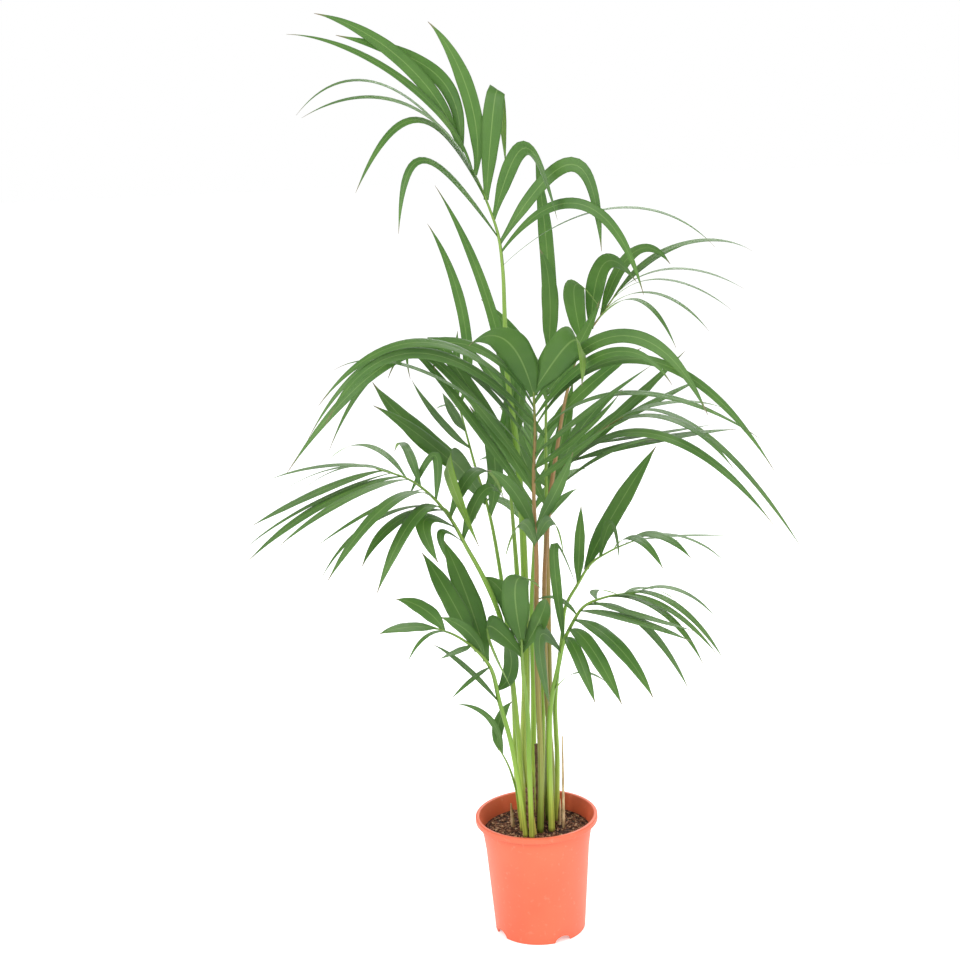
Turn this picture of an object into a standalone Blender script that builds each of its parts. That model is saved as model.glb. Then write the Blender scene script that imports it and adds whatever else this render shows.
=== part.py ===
"""Potted kentia palm: several seedlings of one clump in a nursery pot.

Each frond, which grew as one piece, is one solid: a tapering stalk whose side
carries every leaflet. Lengths in the growth tables are centimetres and are
turned into metres by CM. All the stalks stand on the soil in the pot.
"""

import math

import bpy
import numpy as np

CM = 0.01

# Pot, in metres
POT_HEIGHT = 0.209
RIM_RADIUS = 0.105
COLLAR_RADIUS = 0.0965
SHOULDER_RADIUS = 0.089
BASE_RADIUS = 0.0778
POT_WALL = 0.0018
LIP_HEIGHT = 0.010
COLLAR_FOOT_Z = 0.166
SHOULDER_Z = 0.152
FOOT_WIDTH = 0.003
FLOOR_Z = 0.0132
FLOOR_THICKNESS = 0.002
POT_SEGMENTS = 64
NOTCH_ANGLES = (-62, 28, 118, 208)
NOTCH_WIDTH = 0.030
NOTCH_HEIGHT = 0.0115
DRAIN_HOLES = 6
DRAIN_RADIUS = 0.006

# Soil, in metres
SOIL_TOP = 0.182
GAP = 0.0004

# Growth of the fronds
STALK_SIDES = 6
NECK = 0.6
SLOT = 0.75
STATIONS = (0.07, 0.22, 0.40, 0.60, 0.80, 1.0)
WIDTH_AT = ((0, 0.07, 0.22, 0.40, 0.60, 0.80, 1.0), (0.30, 0.34, 0.78, 1.0, 0.93, 0.60, 0.08))
LEAF_THICKNESS = 0.12
UP = np.array((0.0, 0.0, 1.0))

# Every frond: the points its stalk runs through, its radius at the foot, at the
# first leaflets and at the tip, and the side its upper face turns to. Every
# leaflet: its place along the stalk, its middle and its tip measured from there,
# its width, how level it lies (0 faces like the frond, 1 faces up), and how
# sharply it bends over (0.5 soft, 0.9 folded).
FRONDS = {
    # tallest frond, arching left over the others
    "crown": {
        "stalk": [
            (-1, 0, 26), (-1.5, 0, 31), (-1, 0, 43.5), (-0.5, 0.5, 59.5),
            (-0.5, 1, 73), (-1, 2, 86.5), (-2, 3, 98), (-2, 4, 108),
            (-2, 5, 114.5), (-2.5, 6, 120), (-4, 7, 125), (-6, 8, 130),
            (-8.5, 10, 134),
        ],
        "radius": (0.85, 0.5, 0.12),
        "faces": (0, -1, 0.3),
        "leaflets": [
            (0.81, (18, -7, 9.5), (33, -14, 3.5), 1.4, 0.9, 0.6),
            (0.83, (13, -7, 8), (22, -12, -6), 1.9, 0.5, 0.6),
            (0.85, (12, -2.5, 12.5), (16, -7.5, -1), 2.4, 0.25, 0.72),
            (0.85, (-11.5, -3, 13.5), (-16, -8, 2.5), 1.5, 0.7, 0.75),
            (0.88, (5.5, -3, 11.5), (10, -9, 0.5), 2.7, 0.15, 0.8),
            (0.9, (-10.5, -2, 14.5), (-21, -9, 4), 1.5, 0.85, 0.7),
            (0.91, (2.5, 1, 17.5), (3.5, 6, 4.5), 3.2, 0, 0.8),
            (0.92, (-11.5, -4, 15), (-28, -9, 14), 1.5, 0.85, 0.6),
            (0.94, (-14.5, 0, 16), (-28.5, -4, 12), 1.3, 0.95, 0.6),
            (0.95, (-0.5, 0, 13), (-6.5, 2, 24.5), 2.7, 0, 0.5),
            (0.96, (-11, 2, 15), (-29, 4, 22.5), 1.5, 0.8, 0.5),
            (0.99, (-3.5, 4, 12.5), (-19.5, 3.5, 19.5), 2.5, 0.2, 0.8),
            (1, (-8, 2, 14), (-22.5, 4, 22.5), 2.5, 0.2, 0.5),
        ],
    },
    # high frond leaning right and back
    "upper_right": {
        "stalk": [
            (2, 3, 18.25), (2.5, 3.5, 29), (3, 4, 40), (3.5, 6, 57.5),
            (4, 8, 71), (6, 10, 82.5), (8.5, 13, 93), (11.5, 15, 100.5),
            (14.5, 17, 104), (18.5, 20, 108.5),
        ],
        "radius": (0.7, 0.4, 0.12),
        "faces": (-0.2, -0.9, 0.4),
        "leaflets": [
            (0.87, (-1, -1, 10), (3, -6, 6.5), 3.6, 0, 0.75),
            (0.9, (2.5, 0, 11), (7.5, -5, 8.5), 3.2, 0.1, 0.7),
            (0.92, (6.5, -8, 4.5), (12, -13, -3), 1.4, 0.9, 0.66),
            (0.94, (6, 3, 10), (12, 1, 8), 2.2, 0.4, 0.6),
            (0.94, (8, -7, 4), (16.5, -12, -2), 1.4, 0.9, 0.6),
            (0.96, (8.5, -5, 4.5), (19.5, -9, -0.5), 1.4, 0.9, 0.6),
            (0.97, (10, 6, 7), (20.5, 10, 7.5), 1.5, 0.8, 0.5),
            (0.98, (9.5, -3, 4.5), (21, -6, 1), 1.4, 0.9, 0.6),
            (0.99, (11, 3, 7), (23.5, 5, 5), 1.5, 0.8, 0.5),
        ],
    },
    # upright frond behind the middle
    "back_centre": {
        "stalk": [
            (1, 4, 18.25), (2, 7, 39), (3, 9, 56.5), (4, 12, 73.5),
            (4.5, 15, 86.5), (5.5, 18, 99),
        ],
        "radius": (0.6, 0.4, 0.15),
        "faces": (0, -1, 0.3),
        "leaflets": [
            (0.67, (3, 2, 11), (5.5, 4, 21.5), 2.8, 0.1, 0.5),
            (0.67, (-4, -2, 10), (-6.5, -5, 20.5), 2.8, 0.1, 0.5),
            (0.72, (-7.5, -3, 8.5), (-12.5, -5, 15.5), 2.8, 0.2, 0.5),
            (0.72, (9.5, -3, 9.5), (18, -9, 16.5), 2, 0.2, 0.5),
            (0.81, (-6.5, -3, 9), (-13, -6, 18), 2.2, 0.2, 0.5),
            (0.82, (7.5, -3, 8.5), (16, -8, 15.5), 2.2, 0.2, 0.5),
            (0.89, (-4, -3, 10), (-10.5, -5, 18.5), 2.4, 0.1, 0.5),
            (0.9, (5, -5, 8.5), (9, -7.5, 17), 2.4, 0.1, 0.5),
            (0.99, (0.5, -2, 11.5), (-1, -5, 18.5), 2.9, 0, 0.6),
            (1, (0.5, 2, 14), (-1, 4, 33), 2.6, 0, 0.5),
        ],
    },
    # slender frond leaning left and back
    "left_slender": {
        "stalk": [
            (-2.5, 3, 18.25), (-3, 3.5, 25.5), (-3, 5, 40), (-3.5, 6, 50.5),
            (-4.5, 7, 63), (-6, 9, 73), (-8, 11, 80.5), (-9.5, 13, 87),
            (-10.5, 15, 91.5),
        ],
        "radius": (0.6, 0.35, 0.14),
        "faces": (0.2, -1, 0.4),
        "leaflets": [
            (0.72, (1, -3, 12.5), (-2.5, -5, 21), 2.8, 0.1, 0.5),
            (0.75, (-6, -12, 10.5), (-1.5, -20, -2), 4.2, 0.2, 0.6),
            (0.77, (5, 3, 15.5), (3.5, 4, 25), 2.2, 0.1, 0.5),
            (0.78, (-9, -8, 11), (-17, -14, 18.5), 3, 0.3, 0.5),
            (0.81, (-9.5, -6, 9.5), (-16.5, -11, 19.5), 4, 0.2, 0.5),
            (0.88, (-5, -5, 6.5), (-9, -9, 14), 1.9, 0.3, 0.5),
            (0.92, (-2, -3, 4), (-3.5, -6, 8), 2, 0.2, 0.5),
            (0.98, (-2, -3, 1.5), (-4, -6, 1.5), 0.8, 0.8, 0.5),
            (0.99, (1.5, 2, 14), (-4, 5, 30.5), 1.9, 0, 0.5),
            (0.99, (0, -1, 6.5), (0.5, -2, 12.5), 1.5, 0, 0.5),
        ],
    },
    # upright frond at the front, the widest
    "front": {
        "stalk": [
            (0.5, -2, 18.25), (1, -2.5, 30), (1, -3, 42.5), (1, -3.5, 53.5),
            (1.5, -4, 67.5), (1.5, -4.5, 81.5), (2, -5, 90), (2, -5, 96.5),
        ],
        "radius": (0.6, 0.42, 0.2),
        "faces": (0, -1, 0.35),
        "leaflets": [
            (0.67, (-2.5, -7, 6), (-5.5, -13, 1.5), 2.2, 0.3, 0.7),
            (0.67, (2.5, -7, 5.5), (4, -13, 1), 2, 0.3, 0.7),
            (0.7, (-3.5, -6, 9), (-7.5, -12, 14), 2.3, 0.3, 0.6),
            (0.7, (3.5, -6, 8), (6, -12, 15.5), 2.3, 0.3, 0.6),
            (0.75, (-16.5, -2, 25), (-19, -3, 22.5), 1.8, 0.5, 0.8),
            (0.78, (-14, -1, 25), (-15, -2, 21), 2.6, 0.3, 0.9),
            (0.8, (7, -9, 7.5), (11.5, -15, 12.5), 1.9, 0.4, 0.5),
            (0.81, (-15.5, -3, 21), (-22.5, -5, 18.5), 1.8, 0.4, 0.8),
            (0.83, (8, -8, 8), (13.5, -13, 15), 1.9, 0.4, 0.5),
            (0.84, (-15, -9, 17), (-30.5, -13, 19.5), 1.5, 0.7, 0.5),
            (0.86, (8.5, -9, 9), (18, -13, 16.5), 1.9, 0.4, 0.5),
            (0.87, (-17.5, -5, 18), (-32.5, -9, 3.5), 1.6, 0.7, 0.66),
            (0.89, (14.5, -10, 9.5), (34, -18, 3), 1.5, 0.7, 0.6),
            (0.9, (-18.5, -7, 16.5), (-35.5, -12, 4), 1.6, 0.7, 0.66),
            (0.92, (17.5, -9, 12), (36.5, -15, -5.5), 1.7, 0.6, 0.6),
            (0.93, (-18, -12, 14.5), (-32, -22, 6), 2, 0.5, 0.62),
            (0.94, (11.5, -10, 12), (20.5, -17, 8), 1.9, 0.5, 0.62),
            (0.95, (-16.5, -12, 14.5), (-33, -20, 7), 1.8, 0.6, 0.62),
            (0.97, (-16.5, -8, 12.5), (-39, -14, -5.5), 2, 0.6, 0.62),
            (0.97, (14.5, -6, 11.5), (26, -16, 0.5), 2.4, 0.5, 0.62),
            (1, (-4, -5, 10), (-10, -12, 11), 5.2, 0.1, 0.65),
            (1, (6.5, -5, 9), (7, -14, 3.5), 5.4, 0.1, 0.85),
        ],
    },
    # frond arching right at half height
    "right": {
        "stalk": [
            (2.5, 0.5, 18.25), (3, 0.5, 28.5), (2.5, 0, 41.5), (2.5, -1, 52.5),
            (3, -2, 67), (4, -3, 75.5), (5.5, -4, 81), (8.5, -5, 86),
            (12, -6, 89), (16, -8, 92),
        ],
        "radius": (0.5, 0.4, 0.12),
        "faces": (-0.3, -0.7, 0.6),
        "leaflets": [
            (0.77, (7.5, -7, 7.5), (15.5, -12, 11), 2.2, 0.6, 0.6),
            (0.8, (4.5, 3, 8.5), (11.5, 5, 14), 2.4, 0.2, 0.5),
            (0.8, (15, -9, 9), (33, -14, -5.5), 2.1, 0.6, 0.6),
            (0.83, (9.5, 4, 7.5), (18, 7, 14), 2.2, 0.3, 0.5),
            (0.84, (12.5, -6, 4.5), (26.5, -9, 6.5), 2.6, 0.6, 0.5),
            (0.88, (10, 5, 7), (18.5, 9, 13.5), 1.8, 0.3, 0.5),
            (0.89, (10.5, -5, 2.5), (20.5, -8.5, 4.5), 1.6, 0.8, 0.5),
            (0.92, (9.5, 4, 4), (18.5, 8, 7), 1.7, 0.5, 0.5),
            (0.94, (10.5, -6, 3), (20, -12, -4.5), 1.6, 0.8, 0.6),
            (0.96, (9.5, 2, 3), (19.5, 4, 1), 1.4, 0.8, 0.5),
            (1, (12.5, -3, -2), (27.5, -10, -20.5), 1.7, 0.8, 0.6),
        ],
    },
    # frond arching far left
    "left": {
        "stalk": [
            (-2.5, -1, 18.25), (-2.5, -1.5, 31.5), (-3, -3, 43), (-4, -4, 54),
            (-5.5, -5, 60.5), (-7.5, -6, 66), (-10, -7, 71.5), (-12, -8, 76),
            (-15, -9, 80.5), (-18.5, -11, 84), (-23.5, -13, 86.5),
        ],
        "radius": (0.5, 0.42, 0.12),
        "faces": (0.1, -0.4, 1),
        "leaflets": [
            (0.73, (-3.5, -3, 3), (-3, -5, -1), 1.4, 0.4, 0.7),
            (0.73, (4.5, 4, 7.5), (8, 6, 1.5), 2.4, 0.5, 0.6),
            (0.76, (-5, -5, 3), (-3, -9, -3), 2.8, 0.4, 0.6),
            (0.79, (-5, -8, 4), (-12, -15, -7), 2.7, 0.6, 0.65),
            (0.79, (5, 7, 6), (9, 12, -0.5), 2.4, 0.5, 0.6),
            (0.81, (-7.5, -7, 0.5), (-13, -13, -5), 2.5, 0.6, 0.6),
            (0.82, (-10.5, -8, 0.5), (-19, -14, -7), 1.3, 0.8, 0.6),
            (0.85, (0, 4, 6.5), (-4.5, 2, 0), 1.5, 0.6, 0.7),
            (0.85, (-7, -11, 2), (-16.5, -16, -8.5), 2.8, 0.6, 0.6),
            (0.88, (-7.5, -9, -0.5), (-16.5, -15, -4.5), 1.2, 0.8, 0.6),
            (0.89, (-2.5, 10, 4.5), (-4.5, 16, 2), 1.6, 0.7, 0.7),
            (0.92, (-9, -9, 0), (-20, -14, -6), 2.2, 0.7, 0.55),
            (0.93, (-6.5, 9, 3.5), (-13.5, 15, -0.5), 1.4, 1, 0.6),
            (0.94, (-12, -7, -2), (-24, -12, -9.5), 2.6, 0.7, 0.55),
            (0.96, (-12, 6, -0.5), (-24, 9, -8.5), 1.6, 1, 0.55),
            (0.97, (-12.5, -6, -3), (-23, -9, -9), 1.2, 0.8, 0.5),
            (0.98, (-8, 3, 0), (-16.5, 5, -6), 1.6, 1, 0.55),
            (0.99, (-9, -4, -1.5), (-20.5, -8, -6), 2.6, 0.7, 0.55),
            (1, (-8, 0, 1), (-17.5, 0, -1), 2.2, 1, 0.5),
        ],
    },
    # short frond low on the left
    "lower_left": {
        "stalk": [
            (-2, -3.5, 18.25), (-3, -4, 29), (-4, -5, 36.5), (-5.5, -6, 43.5),
            (-7, -8, 51), (-9.5, -10, 55), (-12.5, -12, 58), (-15.5, -14, 60),
        ],
        "radius": (0.5, 0.38, 0.15),
        "faces": (0.2, -0.6, 0.8),
        "leaflets": [
            (0.54, (-5, -3, 7.5), (-10.5, -6, 13), 2, 0.5, 0.5),
            (0.6, (2.5, 2, 3), (1.5, 1, 9), 2.8, 0.2, 0.5),
            (0.7, (-3, -4, -0.5), (-6.5, -6, -3), 1.1, 0.8, 0.5),
            (0.73, (-2.5, 5, 9), (-6.5, 10, 18.5), 4.2, 0.1, 0.5),
            (0.76, (-2, -1, 4.5), (-6.5, -3, 8), 2.2, 0.3, 0.5),
            (0.79, (-4, 4, 8), (-8.5, 9, 14.5), 3.7, 0.1, 0.5),
            (0.83, (-2.5, -6, 1), (-5, -9, 1), 1.6, 0.5, 0.5),
            (0.91, (-4, -5, 2), (-7.5, -8, -1.5), 1, 0.8, 0.6),
            (0.96, (-3, 1, 3.5), (-7.5, 2, 5), 2.7, 0.2, 0.5),
            (0.99, (-4.5, -3, 1.5), (-9, -6, 1.5), 2.3, 0.4, 0.5),
        ],
    },
    # short frond low on the right
    "lower_right": {
        "stalk": [
            (2.5, -1.5, 18.25), (2.5, -2, 31.5), (3, -3, 41.5), (4.5, -5, 49.5),
            (5.5, -6, 54), (7, -7, 57.5), (9, -9, 61), (12.5, -11, 63),
            (17.5, -14, 64.5),
        ],
        "radius": (0.6, 0.38, 0.12),
        "faces": (-0.2, -0.5, 0.9),
        "leaflets": [
            (0.46, (4, -3, 5), (9, -6, 4), 1.2, 0.9, 0.6),
            (0.62, (-3.5, -4, 4), (-2.5, -9, -6), 3.2, 0.2, 0.7),
            (0.66, (-1, 0, 16.5), (2.5, -3, 9.5), 1.7, 0.2, 0.8),
            (0.67, (1.5, -6, -0.5), (4, -11, -7.5), 2.2, 0.3, 0.6),
            (0.7, (3, -7, -0.5), (7.5, -13, -8.5), 2.7, 0.4, 0.6),
            (0.74, (6, -8, -1.5), (11.5, -14, -9), 2.7, 0.5, 0.55),
            (0.76, (-3.5, 4, 2), (-7.5, 5, 0.5), 1.1, 0.9, 0.6),
            (0.78, (7, -9, 1.5), (16.5, -16, -0.5), 2.4, 0.6, 0.5),
            (0.81, (8.5, -3, -2), (16, -6, -13), 2.2, 0.7, 0.6),
            (0.84, (7, -8, 0), (15, -14, -1), 1.7, 0.7, 0.5),
            (0.87, (0.5, 7, -0.5), (5, 12, -3.5), 1.5, 1, 0.6),
            (0.87, (8.5, -6, 0), (15, -13, -7.5), 1.6, 0.8, 0.6),
            (0.9, (8, -6, 0), (16, -11, -7), 1.5, 0.8, 0.6),
            (0.94, (8, -4, -0.5), (15.5, -8, -9), 1.7, 0.8, 0.6),
            (0.95, (4.5, 4, -0.5), (9, 7, -4), 1.6, 1, 0.5),
            (1, (6.5, -1, 0.5), (12.5, -2, -4.5), 1.9, 1, 0.55),
        ],
    },
    # short frond on the right, set back
    "right_low_back": {
        "stalk": [
            (3.5, 2.5, 18.25), (4, 2.5, 29.5), (4, 2.5, 40.5), (5.5, 2.5, 51.5),
            (6.5, 3, 57.5), (8.5, 4, 60.5), (11, 6, 63.5), (14.5, 8, 65),
            (19.5, 11, 66),
        ],
        "radius": (0.5, 0.35, 0.12),
        "faces": (-0.2, -0.8, 0.5),
        "leaflets": [
            (0.75, (0.5, 1, 6.5), (1, 1, 13.5), 1.9, 0, 0.5),
            (0.8, (4.5, 5, 7), (13, 8, 19), 3.4, 0.1, 0.5),
            (0.86, (2, -1, 6), (3, -4, 0), 1.8, 0.4, 0.7),
            (0.91, (3.5, -6, 3.5), (7.5, -10, -1), 1.9, 0.7, 0.6),
            (0.94, (8.5, 1, 0.5), (19.5, 6, -4.5), 1.2, 1, 0.5),
            (0.95, (5, -5, 3), (10.5, -9, -0.5), 1.9, 0.7, 0.55),
            (0.98, (8, -3, 1.5), (15.5, -6, -3), 1.2, 1, 0.55),
            (0.99, (7.5, 0, 0.5), (16.5, 0, 0), 1.3, 1, 0.5),
        ],
    },
    # young frond with two long leaflets
    "spear": {
        "stalk": [
            (-1.5, 4, 18.25), (-1, 3.5, 40.5), (-1.5, 3.5, 58.5), (-2, 4, 72.5),
            (-2.5, 5, 84),
        ],
        "radius": (0.7, 0.5, 0.2),
        "faces": (0, -1, 0.2),
        "leaflets": [
            (0.99, (2.5, -2, 12), (1.5, -3, 21.5), 2, 0, 0.5),
            (1, (-1, 2, 21), (-10, 5, 44.5), 1.9, 0, 0.5),
        ],
    },
    # young frond with broad leaflets
    "young_front": {
        "stalk": [
            (-1, -4, 18.25), (-1, -4.5, 32.5), (-1, -5, 43.5), (-1.5, -6, 50),
            (-1.5, -7, 55),
        ],
        "radius": (0.5, 0.4, 0.2),
        "faces": (0, -1, 0.4),
        "leaflets": [
            (0.92, (-5.5, -3, 6), (-2, -8, -3), 3.8, 0.2, 0.7),
            (0.94, (3, -1, 5.5), (4, -8, 11.5), 3, 0.2, 0.5),
            (0.97, (-2, 3, 7), (-6, 2, 11.5), 3.6, 0.1, 0.5),
            (0.99, (-0.5, -2, 11), (3.5, -7, 11), 4.6, 0.1, 0.75),
        ],
    },
    # thin seedling with its first leaf
    "seedling": {
        "stalk": [
            (-2.5, 0.5, 18.25), (-3.5, -0.5, 26.5), (-5, -2, 32), (-6, -2, 34),
        ],
        "radius": (0.3, 0.2, 0.12),
        "faces": (0, -1, 0.4),
        "leaflets": [
            (1, (-2, -1, 7), (-7.5, -3, 10.5), 1.1, 0.6, 0.6),
            (1, (0, 1, 4.5), (2.5, 2, 8), 2, 0, 0.5),
        ],
    },
    # frond arching away at the back
    "back_low": {
        "stalk": [
            (-0.5, 6, 18.25), (0.5, 11, 37.5), (1, 17, 54), (2, 23, 63),
            (2.5, 30, 70.5), (3, 37, 75.5),
        ],
        "radius": (0.6, 0.4, 0.15),
        "faces": (0, -0.3, 1),
        "leaflets": [
            (0.75, (-6.5, 5, 5.5), (-10.5, 8, 0.5), 2.2, 0.6, 0.5),
            (0.75, (5, 5, 4), (8.5, 8, 5), 2, 0.6, 0.5),
            (0.81, (-6, 6, 4.5), (-11.5, 10, -0.5), 2.2, 0.6, 0.5),
            (0.81, (5, 6, 4), (10.5, 10, 4.5), 2.2, 0.6, 0.5),
            (0.87, (-6, 6, 5.5), (-11.5, 10, 2), 2.2, 0.6, 0.5),
            (0.87, (6, 6, 5), (11, 10, 4.5), 2.2, 0.6, 0.5),
            (0.94, (-5, 7, 5), (-10, 12, 3.5), 2.2, 0.6, 0.5),
            (0.94, (5.5, 7, 4.5), (10, 12, 4.5), 2.2, 0.6, 0.5),
            (0.99, (-3, 5, 6), (-6, 10, 8.5), 2.4, 0.5, 0.5),
            (0.99, (4, 6, 5.5), (7.5, 11, 7), 2.4, 0.5, 0.5),
            (0.99, (-0.5, 6, 4.5), (-1, 13, 8), 2.4, 0.3, 0.5),
        ],
    },
}


def clear_scene():
    for obj in list(bpy.data.objects):
        bpy.data.objects.remove(obj, do_unlink=True)


def material(name, colour, roughness):
    mat = bpy.data.materials.new(name)
    mat.use_nodes = True
    shader = mat.node_tree.nodes["Principled BSDF"]
    shader.inputs["Base Color"].default_value = (*colour, 1.0)
    shader.inputs["Roughness"].default_value = roughness
    shader.inputs["Metallic"].default_value = 0.0
    return mat


def add_object(name, verts, faces, mat, smooth=False):
    mesh = bpy.data.meshes.new(name)
    mesh.from_pydata([tuple(float(c) for c in v) for v in verts], [], faces)
    mesh.materials.append(mat)
    for polygon in mesh.polygons:
        polygon.use_smooth = smooth
    mesh.update()
    obj = bpy.data.objects.new(name, mesh)
    bpy.context.scene.collection.objects.link(obj)
    return obj


def revolve(profile, segments):
    """Closed solid of the profile turned about Z, radius 0 closing on the axis."""
    verts, faces, rows = [], [], []
    for radius, z in profile:
        if radius == 0:
            rows.append([len(verts)] * segments)
            verts.append((0.0, 0.0, z))
            continue
        rows.append(list(range(len(verts), len(verts) + segments)))
        for k in range(segments):
            angle = 2 * math.pi * k / segments
            verts.append((radius * math.cos(angle), radius * math.sin(angle), z))
    closed = profile[0][0] != 0
    pairs = list(zip(rows, rows[1:]))
    if closed:
        pairs.append((rows[-1], rows[0]))
    for above, below in pairs:
        for k in range(segments):
            n = (k + 1) % segments
            face = [above[k], below[k], below[n], above[n]]
            faces.append(list(dict.fromkeys(face)))
    return verts, faces


def cut(target, cutters):
    for cutter in cutters:
        boolean = target.modifiers.new("cut", "BOOLEAN")
        boolean.operation = "DIFFERENCE"
        boolean.solver = "EXACT"
        boolean.object = cutter
        cutter.hide_render = True
        cutter.display_type = "WIRE"
    bpy.context.view_layer.update()
    graph = bpy.context.evaluated_depsgraph_get()
    mesh = bpy.data.meshes.new_from_object(target.evaluated_get(graph))
    target.modifiers.clear()
    target.data = mesh
    for cutter in cutters:
        bpy.data.objects.remove(cutter, do_unlink=True)


def wall_radius(z):
    """Outer radius of the pot's wall at a height."""
    heights = (0, SHOULDER_Z, COLLAR_FOOT_Z, POT_HEIGHT - LIP_HEIGHT)
    collar_foot = COLLAR_RADIUS - 0.005
    return float(np.interp(z, heights, (BASE_RADIUS, SHOULDER_RADIUS, collar_foot, COLLAR_RADIUS)))


def build_pot(mat):
    lip_z = POT_HEIGHT - LIP_HEIGHT
    bead = 0.003
    outer = [
        (RIM_RADIUS - bead, POT_HEIGHT),
        (RIM_RADIUS, POT_HEIGHT - bead),
        (RIM_RADIUS, lip_z),
        (COLLAR_RADIUS + 0.004, lip_z - 0.001),
        (COLLAR_RADIUS, lip_z - 0.001),
        (wall_radius(COLLAR_FOOT_Z), COLLAR_FOOT_Z),
        (SHOULDER_RADIUS, SHOULDER_Z),
        (BASE_RADIUS, 0),
    ]
    foot = [
        (BASE_RADIUS - FOOT_WIDTH, 0),
        (BASE_RADIUS - FOOT_WIDTH, FLOOR_Z),
        (0, FLOOR_Z),
    ]
    inner = [
        (0, FLOOR_Z + FLOOR_THICKNESS),
        (wall_radius(FLOOR_Z) - POT_WALL, FLOOR_Z + FLOOR_THICKNESS),
        (SHOULDER_RADIUS - POT_WALL, SHOULDER_Z + 0.001),
        (wall_radius(COLLAR_FOOT_Z) - POT_WALL, COLLAR_FOOT_Z + 0.001),
        (COLLAR_RADIUS - POT_WALL, lip_z),
        (RIM_RADIUS - 2.2 * bead, POT_HEIGHT - 0.0008),
    ]
    pot = add_object("pot", *revolve(inner + outer + foot, POT_SEGMENTS), mat)
    cutters = []
    for angle in NOTCH_ANGLES:
        bpy.ops.mesh.primitive_cylinder_add(vertices=24, radius=NOTCH_WIDTH / 2, depth=0.012)
        cutter = bpy.context.object
        turn = math.radians(angle)
        cutter.scale = (1.0, NOTCH_HEIGHT / (NOTCH_WIDTH / 2), 1.0)
        cutter.rotation_euler = (math.pi / 2, 0, turn + math.pi / 2)
        reach = BASE_RADIUS - 0.0015
        cutter.location = (reach * math.cos(turn), reach * math.sin(turn), -0.0003)
        cutters.append(cutter)
    for k in range(DRAIN_HOLES):
        turn = 2 * math.pi * (k + 0.53) / DRAIN_HOLES
        bpy.ops.mesh.primitive_cylinder_add(vertices=16, radius=DRAIN_RADIUS, depth=0.012)
        cutter = bpy.context.object
        cutter.rotation_euler = (0, 0, 0.1)
        cutter.location = (0.045 * math.cos(turn), 0.045 * math.sin(turn), FLOOR_Z + 0.001)
        cutters.append(cutter)
    cut(pot, cutters)
    return pot


def build_soil(mat):
    bottom = FLOOR_Z + FLOOR_THICKNESS + GAP
    slack = POT_WALL + 2 * GAP
    profile = [
        (0, SOIL_TOP),
        (wall_radius(SOIL_TOP) - slack, SOIL_TOP),
        (wall_radius(COLLAR_FOOT_Z) - slack, COLLAR_FOOT_Z),
        (SHOULDER_RADIUS - slack, SHOULDER_Z),
        (wall_radius(bottom) - slack, bottom),
        (0, bottom),
    ]
    return add_object("soil", *revolve(profile, POT_SEGMENTS), mat)


def unit(vector):
    return vector / max(float(np.linalg.norm(vector)), 1e-9)


def smooth_path(points, t):
    """Point at t (0 to 1) on a smooth curve through all the points."""
    p = np.asarray(points, float)
    knots = np.concatenate(([0.0], np.cumsum(np.linalg.norm(np.diff(p, axis=0), axis=1))))
    knots /= knots[-1]
    t = min(max(t, 0.0), 1.0)
    i = min(max(int(np.searchsorted(knots, t, side="right")) - 1, 0), len(p) - 2)
    step = knots[i + 1] - knots[i]
    s = (t - knots[i]) / step

    def slope(k):
        if k == 0:
            return (p[1] - p[0]) / (knots[1] - knots[0])
        if k == len(p) - 1:
            return (p[-1] - p[-2]) / (knots[-1] - knots[-2])
        before = knots[k] - knots[k - 1]
        after = knots[k + 1] - knots[k]
        rise_in = (p[k] - p[k - 1]) / before
        rise_out = (p[k + 1] - p[k]) / after
        return (rise_in * after + rise_out * before) / (before + after)

    m0 = slope(i) * step
    m1 = slope(i + 1) * step
    return (
        (2 * s**3 - 3 * s**2 + 1) * p[i]
        + (s**3 - 2 * s**2 + s) * m0
        + (3 * s**2 - 2 * s**3) * p[i + 1]
        + (s**3 - s**2) * m1
    )


def blade_line(base, middle, tip, fold, count=24):
    """Points along a leaflet: a cubic through its middle, sharper with more fold."""
    pull = (middle - (base + tip) * (0.125 + 0.375 * (1 - fold))) / (0.75 * fold)
    near = base + (pull - base) * fold
    far = tip + (pull - tip) * fold
    u = np.linspace(0, 1, count + 1)[:, None]
    return (1 - u) ** 3 * base + 3 * (1 - u) ** 2 * u * near + 3 * (1 - u) * u**2 * far + u**3 * tip


def blade_loops(frond, base, leaflet):
    """Four-cornered sections of a leaflet from its neck to its tip."""
    _, middle, tip, width, level, fold = leaflet
    line = blade_line(base, middle, tip, fold)
    along = np.concatenate(([0.0], np.cumsum(np.linalg.norm(np.diff(line, axis=0), axis=1))))
    along /= along[-1]
    heading = np.gradient(line, axis=0)
    heading /= np.linalg.norm(heading, axis=1)[:, None]
    face = unit(np.array(frond["faces"], float)) * (1 - level) + UP * level
    normals = []
    for direction in heading:
        face = unit(face - direction * np.dot(face, direction))
        normals.append(face)
    normals = np.array(normals)
    loops = []
    for s in STATIONS:
        centre, direction, normal = (
            np.array([np.interp(s, along, rows[:, k]) for k in range(3)])
            for rows in (line, heading, normals)
        )
        direction = unit(direction)
        normal = unit(normal - direction * np.dot(normal, direction))
        half = max(width * np.interp(s, *WIDTH_AT), 0.16) / 2
        across = np.cross(direction, normal) * half
        lift = normal * LEAF_THICKNESS * np.interp(s, (0, 0.8, 1), (1, 1, 0.7)) / 2
        corners = (lift - across, lift + across, across - lift, -across - lift)
        loops.append(np.array([centre + corner for corner in corners]))
    return loops


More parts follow.
